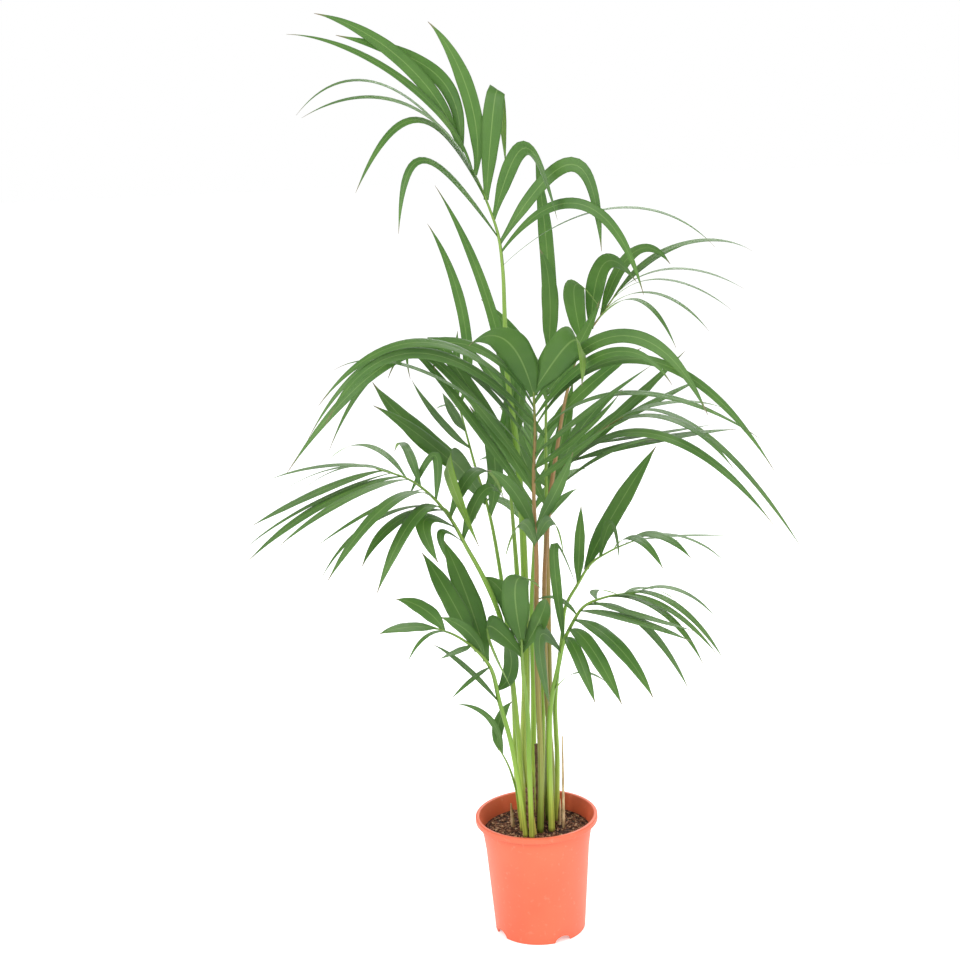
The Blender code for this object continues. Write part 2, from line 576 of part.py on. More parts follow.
def stalk_frames(frond, places):
    """Centre and two cross directions of the stalk at each place."""
    points = frond["stalk"]
    side = np.array((0.0, -1.0, 0.0))
    frames = []
    for t in places:
        ahead = smooth_path(points, min(t + 0.004, 1)) - smooth_path(points, max(t - 0.004, 0))
        direction = UP if t == 0 else unit(ahead)
        side = unit(side - direction * np.dot(side, direction))
        frames.append((smooth_path(points, t), side, np.cross(direction, side)))
    return frames


def leaflet_places(frond, length):
    """Middle of each leaflet's own stretch of stalk, kept apart from its neighbours'."""
    leaflets = sorted(frond["leaflets"], key=lambda row: row[0])
    need = SLOT / length
    places = [row[0] for row in leaflets]
    limit = 1 - need * 0.6
    for k in range(len(places) - 1, -1, -1):
        places[k] = min(places[k], limit)
        limit = places[k] - need
    return list(zip(places, leaflets)), need * 0.42


def build_frond(name, frond, mat):
    """One solid: the stalk's tube with a leaflet drawn out of one side face each."""
    points = np.array(frond["stalk"], float)
    length = np.linalg.norm(np.diff(points, axis=0), axis=1).sum()
    slots, half = leaflet_places(frond, length)
    first = slots[0][0] - half
    plain = max(3, int(first * length / 7))
    places = [first * k / plain for k in range(plain)]
    owners = [None] * plain
    for place, leaflet in slots:
        places += [place - half, place + half]
        owners += [(place, leaflet), None]
    places.append(1.0)
    foot, neck, tip = frond["radius"]
    frames = stalk_frames(frond, places)
    verts, faces = [], [list(range(STALK_SIDES))[::-1]]
    for t, (centre, side, across) in zip(places, frames):
        radius = np.interp(t, (0, NECK, 1), (foot, neck, tip))
        for j in range(STALK_SIDES):
            angle = 2 * math.pi * (j + 0.5) / STALK_SIDES
            verts.append(centre + radius * (math.cos(angle) * side + math.sin(angle) * across))
    for k, owner in enumerate(owners):
        ring = k * STALK_SIDES
        quads = []
        for j in range(STALK_SIDES):
            n = (j + 1) % STALK_SIDES
            quads.append([ring + j, ring + n, ring + STALK_SIDES + n, ring + STALK_SIDES + j])
        if owner:
            draw_leaflet(frond, points, owner, frames[k], quads, verts, faces)
        faces += quads
    last = (len(places) - 1) * STALK_SIDES
    faces.append([last + j for j in range(STALK_SIDES)])
    return add_object(name, np.array(verts) * CM, faces, mat)


def draw_leaflet(frond, points, owner, frame, quads, verts, faces):
    """Take the stalk's face nearest the leaflet and draw the blade out of it."""
    place, leaflet = owner
    centre = smooth_path(points, place)
    _, side, across = frame
    toward = unit(np.array(leaflet[1], float))
    sides = []
    for j in range(STALK_SIDES):
        angle = 2 * math.pi * (j + 1) / STALK_SIDES
        sides.append(math.cos(angle) * side + math.sin(angle) * across)
    pick = max(range(STALK_SIDES), key=lambda j: float(np.dot(sides[j], toward)))
    radius = np.interp(place, (0, NECK, 1), frond["radius"])
    start = centre + sides[pick] * radius
    middle = centre + np.array(leaflet[1], float)
    tip = centre + np.array(leaflet[2], float)
    loops = blade_loops(frond, start, (place, middle, tip, *leaflet[3:]))
    quad = quads.pop(pick)
    base = np.array([verts[i] for i in quad])
    base_spokes = [unit(corner) for corner in base - base.mean(axis=0)]
    blade_spokes = [unit(corner) for corner in loops[0] - loops[0].mean(axis=0)]

    def match(shift):
        return sum(float(np.dot(base_spokes[i], blade_spokes[(i + shift) % 4])) for i in range(4))

    shift = max(range(4), key=match)
    previous = quad
    for loop in loops:
        current = [len(verts) + i for i in range(4)]
        verts.extend(loop[(i + shift) % 4] for i in range(4))
        for i in range(4):
            n = (i + 1) % 4
            faces.append([previous[i], previous[n], current[n], current[i]])
        previous = current
    faces.append(previous)


def build_stub(name, points, radii, sides, mat, rings=6):
    """Tapering upright piece through points, its radii from foot to top."""
    frond = {"stalk": points}
    places = [k / (rings - 1) for k in range(rings)]
    verts, faces = [], [list(range(sides))[::-1]]
    steps = np.linspace(0, 1, len(radii))
    for t, (centre, side, across) in zip(places, stalk_frames(frond, places)):
        radius = np.interp(t, steps, radii)
        for j in range(sides):
            angle = 2 * math.pi * j / sides
            verts.append(centre + radius * (math.cos(angle) * side + math.sin(angle) * across))
    for k in range(rings - 1):
        for j in range(sides):
            n = (j + 1) % sides
            faces.append([k * sides + j, k * sides + n, (k + 1) * sides + n, (k + 1) * sides + j])
    faces.append([(rings - 1) * sides + j for j in range(sides)])
    return add_object(name, np.array(verts) * CM, faces, mat)


# Small pieces at the foot of the clump, in centimetres: path, radii, sides
STUBS = {
    "trunk_ringed": ([(-1, 0, 18.23), (-1, 0, 25.96)], (0.88, 0.8, 0.84, 0.76, 0.8), 12),
    "trunk_fibrous": ([(0.8, 1.4, 18.23), (0.7, 1.4, 33.0)], (0.82, 0.75, 0.65, 0.6), 10),
    "spike_sheath": ([(-0.4, -2.8, 18.23), (-0.8, -2.5, 23.0)], (0.32, 0.26, 0.08), 8),
    "husk_left": ([(-4.1, 0.9, 18.23), (-4.3, 1.0, 22.5)], (0.34, 0.3, 0.12), 8),
    "husk_right": ([(3.9, 0.9, 18.23), (4.2, 0.9, 23.0)], (0.36, 0.3, 0.1), 8),
    "old_stalk": ([(4.6, -0.6, 18.23), (4.9, -0.4, 35.0)], (0.26, 0.22, 0.12), 8),
}


def centre_on_origin():
    """Moves the whole plant so that the middle of its box stands over the origin."""
    pieces = list(bpy.context.scene.objects)
    points = np.array([vert.co for piece in pieces for vert in piece.data.vertices])
    middle = (points.min(axis=0) + points.max(axis=0)) / 2
    for piece in pieces:
        for vert in piece.data.vertices:
            vert.co.x -= middle[0]
            vert.co.y -= middle[1]
        piece.data.update()


def main():
    clear_scene()
    plastic = material("pot_plastic", (0.74, 0.14, 0.06), 0.5)
    peat = material("soil_peat", (0.03, 0.015, 0.01), 0.95)
    leaf = material("leaf_green", (0.07, 0.14, 0.03), 0.5)
    bark = material("trunk_bark", (0.25, 0.14, 0.09), 0.85)
    build_pot(plastic)
    build_soil(peat)
    for name, (points, radii, sides) in STUBS.items():
        build_stub(name, points, radii, sides, bark)
    for name, frond in FRONDS.items():
        build_frond("frond_" + name, frond, leaf)
    centre_on_origin()


main()
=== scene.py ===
"""Looks of the potted kentia palm: leaves, stems, soil and pot over the CAD frame."""

import math
import random

import bpy
import numpy as np
from mathutils import Matrix, Vector


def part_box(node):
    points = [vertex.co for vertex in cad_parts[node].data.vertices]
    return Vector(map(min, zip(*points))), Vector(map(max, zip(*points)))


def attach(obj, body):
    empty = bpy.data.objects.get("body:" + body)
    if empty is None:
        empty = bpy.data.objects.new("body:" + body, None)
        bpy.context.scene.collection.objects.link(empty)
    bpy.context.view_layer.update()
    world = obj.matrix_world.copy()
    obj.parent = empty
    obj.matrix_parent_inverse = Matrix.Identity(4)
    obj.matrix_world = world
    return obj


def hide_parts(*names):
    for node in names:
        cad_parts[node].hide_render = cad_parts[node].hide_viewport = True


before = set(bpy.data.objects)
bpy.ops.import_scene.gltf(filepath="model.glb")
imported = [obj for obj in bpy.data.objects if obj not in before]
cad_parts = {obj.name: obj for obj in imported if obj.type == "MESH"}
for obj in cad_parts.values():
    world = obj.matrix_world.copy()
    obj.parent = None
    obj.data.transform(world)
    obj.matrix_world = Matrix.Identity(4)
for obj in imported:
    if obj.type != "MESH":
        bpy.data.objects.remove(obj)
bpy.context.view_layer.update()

# The pot's axis, about which everything below is built
pot_low, pot_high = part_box("pot")
POT_PLACE = (pot_low + pot_high) / 2
POT_PLACE.z = 0

CM = 0.01

# Pot and soil, in metres, as in the construction
POT_HEIGHT = 0.209
RIM_RADIUS = 0.105
COLLAR_RADIUS = 0.0965
SHOULDER_RADIUS = 0.089
BASE_RADIUS = 0.0778
POT_WALL = 0.0018
LIP_HEIGHT = 0.010
COLLAR_FOOT_Z = 0.166
SHOULDER_Z = 0.152
FOOT_WIDTH = 0.003
FLOOR_Z = 0.0132
FLOOR_THICKNESS = 0.002
NOTCH_ANGLES = (-62, 28, 118, 208)
NOTCH_WIDTH = 0.030
NOTCH_HEIGHT = 0.0115
SOIL_TOP = 0.182
POT_SEGMENTS = 160
LIP_BEAD = 0.0022
CUTTER_DEPTH = 0.012
SMOOTH_ANGLE = 35
SOIL_RINGS = 46
SOIL_SEGMENTS = 120
SOIL_PLAY = 0.0008
CHIP_COUNT = 900
FIBRE_SHARE = 0.35

# Leaves, in centimetres
NECK = 0.6
STALK_SIDES = 14
BLADE_STEPS = 34
BLADE_COLUMNS = 8
BLADE_THICKNESS = 0.045
FOLD_DEPTH = 0.16
LINE_STEPS = 60
EDGE_WAVE = 0.03
EDGE_WAVE_TURNS = 19
ARCH_DEPTH = 0.10
RIB_HEIGHT = 0.012
RIB_SHARE = 0.12
STALK_RINGS = 70
INSIDE_STALK = 0.97
INSIDE_STUB = 0.96
UP = np.array((0.0, 0.0, 1.0))

# Stage: metres from the pot's axis, watts, degrees, and millimetres for the lens
LIT_POINT = (0, 0, 0.8)
LIGHTS = {
    "key": ((-2.2, -2.6, 3.2), 2.2, 95),
    "fill": ((2.8, -2.0, 2.0), 2.4, 45),
    "back": ((0.8, 2.6, 2.6), 2.0, 60),
}
FLOOR_REACH = 12.0
CAMERA_PLACE = (-0.072, -3.2, 1.633)
CAMERA_LENS = 75.26
CAMERA_SENSOR = 36
CAMERA_PITCH = 14.5
CAMERA_ROLL = 2.5

# Outline of a leaflet: share of its length, share of its full width
BLADE_WIDTH = (
    (0, 0.04, 0.10, 0.20, 0.32, 0.45, 0.60, 0.75, 0.87, 0.94, 1.0),
    (0.26, 0.30, 0.46, 0.78, 0.96, 1.0, 0.92, 0.70, 0.38, 0.15, 0.03),
)

# Every frond: the points its stalk runs through, its radius at the foot, at the
# first leaflets and at the tip, and the side its upper face turns to. Every
# leaflet: its place along the stalk, its middle and its tip measured from there,
# its width, how level it lies (0 faces like the frond, 1 faces up), and how
# sharply it bends over (0.5 soft, 0.9 folded).
FRONDS = {
    # tallest frond, arching left over the others
    "crown": {
        "stalk": [
            (-1, 0, 26), (-1.5, 0, 31), (-1, 0, 43.5), (-0.5, 0.5, 59.5),
            (-0.5, 1, 73), (-1, 2, 86.5), (-2, 3, 98), (-2, 4, 108),
            (-2, 5, 114.5), (-2.5, 6, 120), (-4, 7, 125), (-6, 8, 130),
            (-8.5, 10, 134),
        ],
        "radius": (0.85, 0.5, 0.12),
        "faces": (0, -1, 0.3),
        "leaflets": [
            (0.81, (18, -7, 9.5), (33, -14, 3.5), 1.4, 0.9, 0.6),
            (0.83, (13, -7, 8), (22, -12, -6), 1.9, 0.5, 0.6),
            (0.85, (12, -2.5, 12.5), (16, -7.5, -1), 2.4, 0.25, 0.72),
            (0.85, (-11.5, -3, 13.5), (-16, -8, 2.5), 1.5, 0.7, 0.75),
            (0.88, (5.5, -3, 11.5), (10, -9, 0.5), 2.7, 0.15, 0.8),
            (0.9, (-10.5, -2, 14.5), (-21, -9, 4), 1.5, 0.85, 0.7),
            (0.91, (2.5, 1, 17.5), (3.5, 6, 4.5), 3.2, 0, 0.8),
            (0.92, (-11.5, -4, 15), (-28, -9, 14), 1.5, 0.85, 0.6),
            (0.94, (-14.5, 0, 16), (-28.5, -4, 12), 1.3, 0.95, 0.6),
            (0.95, (-0.5, 0, 13), (-6.5, 2, 24.5), 2.7, 0, 0.5),
            (0.96, (-11, 2, 15), (-29, 4, 22.5), 1.5, 0.8, 0.5),
            (0.99, (-3.5, 4, 12.5), (-19.5, 3.5, 19.5), 2.5, 0.2, 0.8),
            (1, (-8, 2, 14), (-22.5, 4, 22.5), 2.5, 0.2, 0.5),
        ],
    },
    # high frond leaning right and back
    "upper_right": {
        "stalk": [
            (2, 3, 18.25), (2.5, 3.5, 29), (3, 4, 40), (3.5, 6, 57.5),
            (4, 8, 71), (6, 10, 82.5), (8.5, 13, 93), (11.5, 15, 100.5),
            (14.5, 17, 104), (18.5, 20, 108.5),
        ],
        "radius": (0.7, 0.4, 0.12),
        "faces": (-0.2, -0.9, 0.4),
        "leaflets": [
            (0.87, (-1, -1, 10), (3, -6, 6.5), 3.6, 0, 0.75),
            (0.9, (2.5, 0, 11), (7.5, -5, 8.5), 3.2, 0.1, 0.7),
            (0.92, (6.5, -8, 4.5), (12, -13, -3), 1.4, 0.9, 0.66),
            (0.94, (6, 3, 10), (12, 1, 8), 2.2, 0.4, 0.6),
            (0.94, (8, -7, 4), (16.5, -12, -2), 1.4, 0.9, 0.6),
            (0.96, (8.5, -5, 4.5), (19.5, -9, -0.5), 1.4, 0.9, 0.6),
            (0.97, (10, 6, 7), (20.5, 10, 7.5), 1.5, 0.8, 0.5),
            (0.98, (9.5, -3, 4.5), (21, -6, 1), 1.4, 0.9, 0.6),
            (0.99, (11, 3, 7), (23.5, 5, 5), 1.5, 0.8, 0.5),
        ],
    },
    # upright frond behind the middle
    "back_centre": {
        "stalk": [
            (1, 4, 18.25), (2, 7, 39), (3, 9, 56.5), (4, 12, 73.5),
            (4.5, 15, 86.5), (5.5, 18, 99),
        ],
        "radius": (0.6, 0.4, 0.15),
        "faces": (0, -1, 0.3),
        "leaflets": [
            (0.67, (3, 2, 11), (5.5, 4, 21.5), 2.8, 0.1, 0.5),
            (0.67, (-4, -2, 10), (-6.5, -5, 20.5), 2.8, 0.1, 0.5),
            (0.72, (-7.5, -3, 8.5), (-12.5, -5, 15.5), 2.8, 0.2, 0.5),
            (0.72, (9.5, -3, 9.5), (18, -9, 16.5), 2, 0.2, 0.5),
            (0.81, (-6.5, -3, 9), (-13, -6, 18), 2.2, 0.2, 0.5),
            (0.82, (7.5, -3, 8.5), (16, -8, 15.5), 2.2, 0.2, 0.5),
            (0.89, (-4, -3, 10), (-10.5, -5, 18.5), 2.4, 0.1, 0.5),
            (0.9, (5, -5, 8.5), (9, -7.5, 17), 2.4, 0.1, 0.5),
            (0.99, (0.5, -2, 11.5), (-1, -5, 18.5), 2.9, 0, 0.6),
            (1, (0.5, 2, 14), (-1, 4, 33), 2.6, 0, 0.5),
        ],
    },
    # slender frond leaning left and back
    "left_slender": {
        "stalk": [
            (-2.5, 3, 18.25), (-3, 3.5, 25.5), (-3, 5, 40), (-3.5, 6, 50.5),
            (-4.5, 7, 63), (-6, 9, 73), (-8, 11, 80.5), (-9.5, 13, 87),
            (-10.5, 15, 91.5),
        ],
        "radius": (0.6, 0.35, 0.14),
        "faces": (0.2, -1, 0.4),
        "leaflets": [
            (0.72, (1, -3, 12.5), (-2.5, -5, 21), 2.8, 0.1, 0.5),
            (0.75, (-6, -12, 10.5), (-1.5, -20, -2), 4.2, 0.2, 0.6),
            (0.77, (5, 3, 15.5), (3.5, 4, 25), 2.2, 0.1, 0.5),
            (0.78, (-9, -8, 11), (-17, -14, 18.5), 3, 0.3, 0.5),
            (0.81, (-9.5, -6, 9.5), (-16.5, -11, 19.5), 4, 0.2, 0.5),
            (0.88, (-5, -5, 6.5), (-9, -9, 14), 1.9, 0.3, 0.5),
            (0.92, (-2, -3, 4), (-3.5, -6, 8), 2, 0.2, 0.5),
            (0.98, (-2, -3, 1.5), (-4, -6, 1.5), 0.8, 0.8, 0.5),
            (0.99, (1.5, 2, 14), (-4, 5, 30.5), 1.9, 0, 0.5),
            (0.99, (0, -1, 6.5), (0.5, -2, 12.5), 1.5, 0, 0.5),
        ],
    },
    # upright frond at the front, the widest
    "front": {
        "stalk": [
            (0.5, -2, 18.25), (1, -2.5, 30), (1, -3, 42.5), (1, -3.5, 53.5),
            (1.5, -4, 67.5), (1.5, -4.5, 81.5), (2, -5, 90), (2, -5, 96.5),
        ],
        "radius": (0.6, 0.42, 0.2),
        "faces": (0, -1, 0.35),
        "leaflets": [
            (0.67, (-2.5, -7, 6), (-5.5, -13, 1.5), 2.2, 0.3, 0.7),
            (0.67, (2.5, -7, 5.5), (4, -13, 1), 2, 0.3, 0.7),
            (0.7, (-3.5, -6, 9), (-7.5, -12, 14), 2.3, 0.3, 0.6),
            (0.7, (3.5, -6, 8), (6, -12, 15.5), 2.3, 0.3, 0.6),
            (0.75, (-16.5, -2, 25), (-19, -3, 22.5), 1.8, 0.5, 0.8),
            (0.78, (-14, -1, 25), (-15, -2, 21), 2.6, 0.3, 0.9),
            (0.8, (7, -9, 7.5), (11.5, -15, 12.5), 1.9, 0.4, 0.5),
            (0.81, (-15.5, -3, 21), (-22.5, -5, 18.5), 1.8, 0.4, 0.8),
            (0.83, (8, -8, 8), (13.5, -13, 15), 1.9, 0.4, 0.5),
            (0.84, (-15, -9, 17), (-30.5, -13, 19.5), 1.5, 0.7, 0.5),
            (0.86, (8.5, -9, 9), (18, -13, 16.5), 1.9, 0.4, 0.5),
            (0.87, (-17.5, -5, 18), (-32.5, -9, 3.5), 1.6, 0.7, 0.66),
            (0.89, (14.5, -10, 9.5), (34, -18, 3), 1.5, 0.7, 0.6),
            (0.9, (-18.5, -7, 16.5), (-35.5, -12, 4), 1.6, 0.7, 0.66),
            (0.92, (17.5, -9, 12), (36.5, -15, -5.5), 1.7, 0.6, 0.6),
            (0.93, (-18, -12, 14.5), (-32, -22, 6), 2, 0.5, 0.62),
            (0.94, (11.5, -10, 12), (20.5, -17, 8), 1.9, 0.5, 0.62),
            (0.95, (-16.5, -12, 14.5), (-33, -20, 7), 1.8, 0.6, 0.62),
            (0.97, (-16.5, -8, 12.5), (-39, -14, -5.5), 2, 0.6, 0.62),
            (0.97, (14.5, -6, 11.5), (26, -16, 0.5), 2.4, 0.5, 0.62),
            (1, (-4, -5, 10), (-10, -12, 11), 5.2, 0.1, 0.65),
            (1, (6.5, -5, 9), (7, -14, 3.5), 5.4, 0.1, 0.85),
        ],
    },
    # frond arching right at half height
    "right": {
        "stalk": [
            (2.5, 0.5, 18.25), (3, 0.5, 28.5), (2.5, 0, 41.5), (2.5, -1, 52.5),
            (3, -2, 67), (4, -3, 75.5), (5.5, -4, 81), (8.5, -5, 86),
            (12, -6, 89), (16, -8, 92),
        ],
        "radius": (0.5, 0.4, 0.12),
        "faces": (-0.3, -0.7, 0.6),
        "leaflets": [
            (0.77, (7.5, -7, 7.5), (15.5, -12, 11), 2.2, 0.6, 0.6),
            (0.8, (4.5, 3, 8.5), (11.5, 5, 14), 2.4, 0.2, 0.5),
            (0.8, (15, -9, 9), (33, -14, -5.5), 2.1, 0.6, 0.6),
            (0.83, (9.5, 4, 7.5), (18, 7, 14), 2.2, 0.3, 0.5),
            (0.84, (12.5, -6, 4.5), (26.5, -9, 6.5), 2.6, 0.6, 0.5),
            (0.88, (10, 5, 7), (18.5, 9, 13.5), 1.8, 0.3, 0.5),
            (0.89, (10.5, -5, 2.5), (20.5, -8.5, 4.5), 1.6, 0.8, 0.5),
            (0.92, (9.5, 4, 4), (18.5, 8, 7), 1.7, 0.5, 0.5),
            (0.94, (10.5, -6, 3), (20, -12, -4.5), 1.6, 0.8, 0.6),
            (0.96, (9.5, 2, 3), (19.5, 4, 1), 1.4, 0.8, 0.5),
            (1, (12.5, -3, -2), (27.5, -10, -20.5), 1.7, 0.8, 0.6),
        ],
    },
    # frond arching far left
    "left": {
        "stalk": [
            (-2.5, -1, 18.25), (-2.5, -1.5, 31.5), (-3, -3, 43), (-4, -4, 54),
            (-5.5, -5, 60.5), (-7.5, -6, 66), (-10, -7, 71.5), (-12, -8, 76),
            (-15, -9, 80.5), (-18.5, -11, 84), (-23.5, -13, 86.5),
        ],
        "radius": (0.5, 0.42, 0.12),
        "faces": (0.1, -0.4, 1),
        "leaflets": [
            (0.73, (-3.5, -3, 3), (-3, -5, -1), 1.4, 0.4, 0.7),
            (0.73, (4.5, 4, 7.5), (8, 6, 1.5), 2.4, 0.5, 0.6),
            (0.76, (-5, -5, 3), (-3, -9, -3), 2.8, 0.4, 0.6),
            (0.79, (-5, -8, 4), (-12, -15, -7), 2.7, 0.6, 0.65),
            (0.79, (5, 7, 6), (9, 12, -0.5), 2.4, 0.5, 0.6),
            (0.81, (-7.5, -7, 0.5), (-13, -13, -5), 2.5, 0.6, 0.6),
            (0.82, (-10.5, -8, 0.5), (-19, -14, -7), 1.3, 0.8, 0.6),
            (0.85, (0, 4, 6.5), (-4.5, 2, 0), 1.5, 0.6, 0.7),
            (0.85, (-7, -11, 2), (-16.5, -16, -8.5), 2.8, 0.6, 0.6),
            (0.88, (-7.5, -9, -0.5), (-16.5, -15, -4.5), 1.2, 0.8, 0.6),
            (0.89, (-2.5, 10, 4.5), (-4.5, 16, 2), 1.6, 0.7, 0.7),
            (0.92, (-9, -9, 0), (-20, -14, -6), 2.2, 0.7, 0.55),
            (0.93, (-6.5, 9, 3.5), (-13.5, 15, -0.5), 1.4, 1, 0.6),
            (0.94, (-12, -7, -2), (-24, -12, -9.5), 2.6, 0.7, 0.55),
            (0.96, (-12, 6, -0.5), (-24, 9, -8.5), 1.6, 1, 0.55),
            (0.97, (-12.5, -6, -3), (-23, -9, -9), 1.2, 0.8, 0.5),
            (0.98, (-8, 3, 0), (-16.5, 5, -6), 1.6, 1, 0.55),
            (0.99, (-9, -4, -1.5), (-20.5, -8, -6), 2.6, 0.7, 0.55),
            (1, (-8, 0, 1), (-17.5, 0, -1), 2.2, 1, 0.5),
        ],
    },
    # short frond low on the left
    "lower_left": {
        "stalk": [
            (-2, -3.5, 18.25), (-3, -4, 29), (-4, -5, 36.5), (-5.5, -6, 43.5),
            (-7, -8, 51), (-9.5, -10, 55), (-12.5, -12, 58), (-15.5, -14, 60),
        ],
        "radius": (0.5, 0.38, 0.15),
        "faces": (0.2, -0.6, 0.8),
        "leaflets": [
            (0.54, (-5, -3, 7.5), (-10.5, -6, 13), 2, 0.5, 0.5),
            (0.6, (2.5, 2, 3), (1.5, 1, 9), 2.8, 0.2, 0.5),
            (0.7, (-3, -4, -0.5), (-6.5, -6, -3), 1.1, 0.8, 0.5),
            (0.73, (-2.5, 5, 9), (-6.5, 10, 18.5), 4.2, 0.1, 0.5),
            (0.76, (-2, -1, 4.5), (-6.5, -3, 8), 2.2, 0.3, 0.5),
            (0.79, (-4, 4, 8), (-8.5, 9, 14.5), 3.7, 0.1, 0.5),
            (0.83, (-2.5, -6, 1), (-5, -9, 1), 1.6, 0.5, 0.5),
            (0.91, (-4, -5, 2), (-7.5, -8, -1.5), 1, 0.8, 0.6),
            (0.96, (-3, 1, 3.5), (-7.5, 2, 5), 2.7, 0.2, 0.5),
            (0.99, (-4.5, -3, 1.5), (-9, -6, 1.5), 2.3, 0.4, 0.5),
        ],
    },
    # short frond low on the right
    "lower_right": {
        "stalk": [
            (2.5, -1.5, 18.25), (2.5, -2, 31.5), (3, -3, 41.5), (4.5, -5, 49.5),
            (5.5, -6, 54), (7, -7, 57.5), (9, -9, 61), (12.5, -11, 63),
            (17.5, -14, 64.5),
        ],
        "radius": (0.6, 0.38, 0.12),
        "faces": (-0.2, -0.5, 0.9),
        "leaflets": [
            (0.46, (4, -3, 5), (9, -6, 4), 1.2, 0.9, 0.6),
            (0.62, (-3.5, -4, 4), (-2.5, -9, -6), 3.2, 0.2, 0.7),
            (0.66, (-1, 0, 16.5), (2.5, -3, 9.5), 1.7, 0.2, 0.8),
            (0.67, (1.5, -6, -0.5), (4, -11, -7.5), 2.2, 0.3, 0.6),
            (0.7, (3, -7, -0.5), (7.5, -13, -8.5), 2.7, 0.4, 0.6),
            (0.74, (6, -8, -1.5), (11.5, -14, -9), 2.7, 0.5, 0.55),
            (0.76, (-3.5, 4, 2), (-7.5, 5, 0.5), 1.1, 0.9, 0.6),
            (0.78, (7, -9, 1.5), (16.5, -16, -0.5), 2.4, 0.6, 0.5),
            (0.81, (8.5, -3, -2), (16, -6, -13), 2.2, 0.7, 0.6),
            (0.84, (7, -8, 0), (15, -14, -1), 1.7, 0.7, 0.5),
            (0.87, (0.5, 7, -0.5), (5, 12, -3.5), 1.5, 1, 0.6),
            (0.87, (8.5, -6, 0), (15, -13, -7.5), 1.6, 0.8, 0.6),
            (0.9, (8, -6, 0), (16, -11, -7), 1.5, 0.8, 0.6),
            (0.94, (8, -4, -0.5), (15.5, -8, -9), 1.7, 0.8, 0.6),
            (0.95, (4.5, 4, -0.5), (9, 7, -4), 1.6, 1, 0.5),
            (1, (6.5, -1, 0.5), (12.5, -2, -4.5), 1.9, 1, 0.55),
        ],
    },
    # short frond on the right, set back
    "right_low_back": {
        "stalk": [
            (3.5, 2.5, 18.25), (4, 2.5, 29.5), (4, 2.5, 40.5), (5.5, 2.5, 51.5),
            (6.5, 3, 57.5), (8.5, 4, 60.5), (11, 6, 63.5), (14.5, 8, 65),
            (19.5, 11, 66),
        ],
        "radius": (0.5, 0.35, 0.12),
        "faces": (-0.2, -0.8, 0.5),
        "leaflets": [
            (0.75, (0.5, 1, 6.5), (1, 1, 13.5), 1.9, 0, 0.5),
            (0.8, (4.5, 5, 7), (13, 8, 19), 3.4, 0.1, 0.5),
            (0.86, (2, -1, 6), (3, -4, 0), 1.8, 0.4, 0.7),
            (0.91, (3.5, -6, 3.5), (7.5, -10, -1), 1.9, 0.7, 0.6),
            (0.94, (8.5, 1, 0.5), (19.5, 6, -4.5), 1.2, 1, 0.5),
            (0.95, (5, -5, 3), (10.5, -9, -0.5), 1.9, 0.7, 0.55),
            (0.98, (8, -3, 1.5), (15.5, -6, -3), 1.2, 1, 0.55),
            (0.99, (7.5, 0, 0.5), (16.5, 0, 0), 1.3, 1, 0.5),
        ],
    },
    # young frond with two long leaflets
    "spear": {
        "stalk": [
            (-1.5, 4, 18.25), (-1, 3.5, 40.5), (-1.5, 3.5, 58.5), (-2, 4, 72.5),
            (-2.5, 5, 84),
        ],
        "radius": (0.7, 0.5, 0.2),
        "faces": (0, -1, 0.2),
        "leaflets": [
            (0.99, (2.5, -2, 12), (1.5, -3, 21.5), 2, 0, 0.5),
            (1, (-1, 2, 21), (-10, 5, 44.5), 1.9, 0, 0.5),
        ],
    },
    # young frond with broad leaflets
    "young_front": {
        "stalk": [
            (-1, -4, 18.25), (-1, -4.5, 32.5), (-1, -5, 43.5), (-1.5, -6, 50),
            (-1.5, -7, 55),
        ],
        "radius": (0.5, 0.4, 0.2),
        "faces": (0, -1, 0.4),
        "leaflets": [
            (0.92, (-5.5, -3, 6), (-2, -8, -3), 3.8, 0.2, 0.7),
            (0.94, (3, -1, 5.5), (4, -8, 11.5), 3, 0.2, 0.5),
            (0.97, (-2, 3, 7), (-6, 2, 11.5), 3.6, 0.1, 0.5),
            (0.99, (-0.5, -2, 11), (3.5, -7, 11), 4.6, 0.1, 0.75),
        ],
    },
    # thin seedling with its first leaf
    "seedling": {
        "stalk": [
            (-2.5, 0.5, 18.25), (-3.5, -0.5, 26.5), (-5, -2, 32), (-6, -2, 34),
        ],
        "radius": (0.3, 0.2, 0.12),
        "faces": (0, -1, 0.4),
        "leaflets": [
            (1, (-2, -1, 7), (-7.5, -3, 10.5), 1.1, 0.6, 0.6),
            (1, (0, 1, 4.5), (2.5, 2, 8), 2, 0, 0.5),
        ],
    },
    # frond arching away at the back
    "back_low": {
        "stalk": [
            (-0.5, 6, 18.25), (0.5, 11, 37.5), (1, 17, 54), (2, 23, 63),
            (2.5, 30, 70.5), (3, 37, 75.5),
        ],
        "radius": (0.6, 0.4, 0.15),
        "faces": (0, -0.3, 1),
        "leaflets": [
            (0.75, (-6.5, 5, 5.5), (-10.5, 8, 0.5), 2.2, 0.6, 0.5),
            (0.75, (5, 5, 4), (8.5, 8, 5), 2, 0.6, 0.5),
            (0.81, (-6, 6, 4.5), (-11.5, 10, -0.5), 2.2, 0.6, 0.5),
            (0.81, (5, 6, 4), (10.5, 10, 4.5), 2.2, 0.6, 0.5),
            (0.87, (-6, 6, 5.5), (-11.5, 10, 2), 2.2, 0.6, 0.5),
            (0.87, (6, 6, 5), (11, 10, 4.5), 2.2, 0.6, 0.5),
            (0.94, (-5, 7, 5), (-10, 12, 3.5), 2.2, 0.6, 0.5),
            (0.94, (5.5, 7, 4.5), (10, 12, 4.5), 2.2, 0.6, 0.5),
            (0.99, (-3, 5, 6), (-6, 10, 8.5), 2.4, 0.5, 0.5),
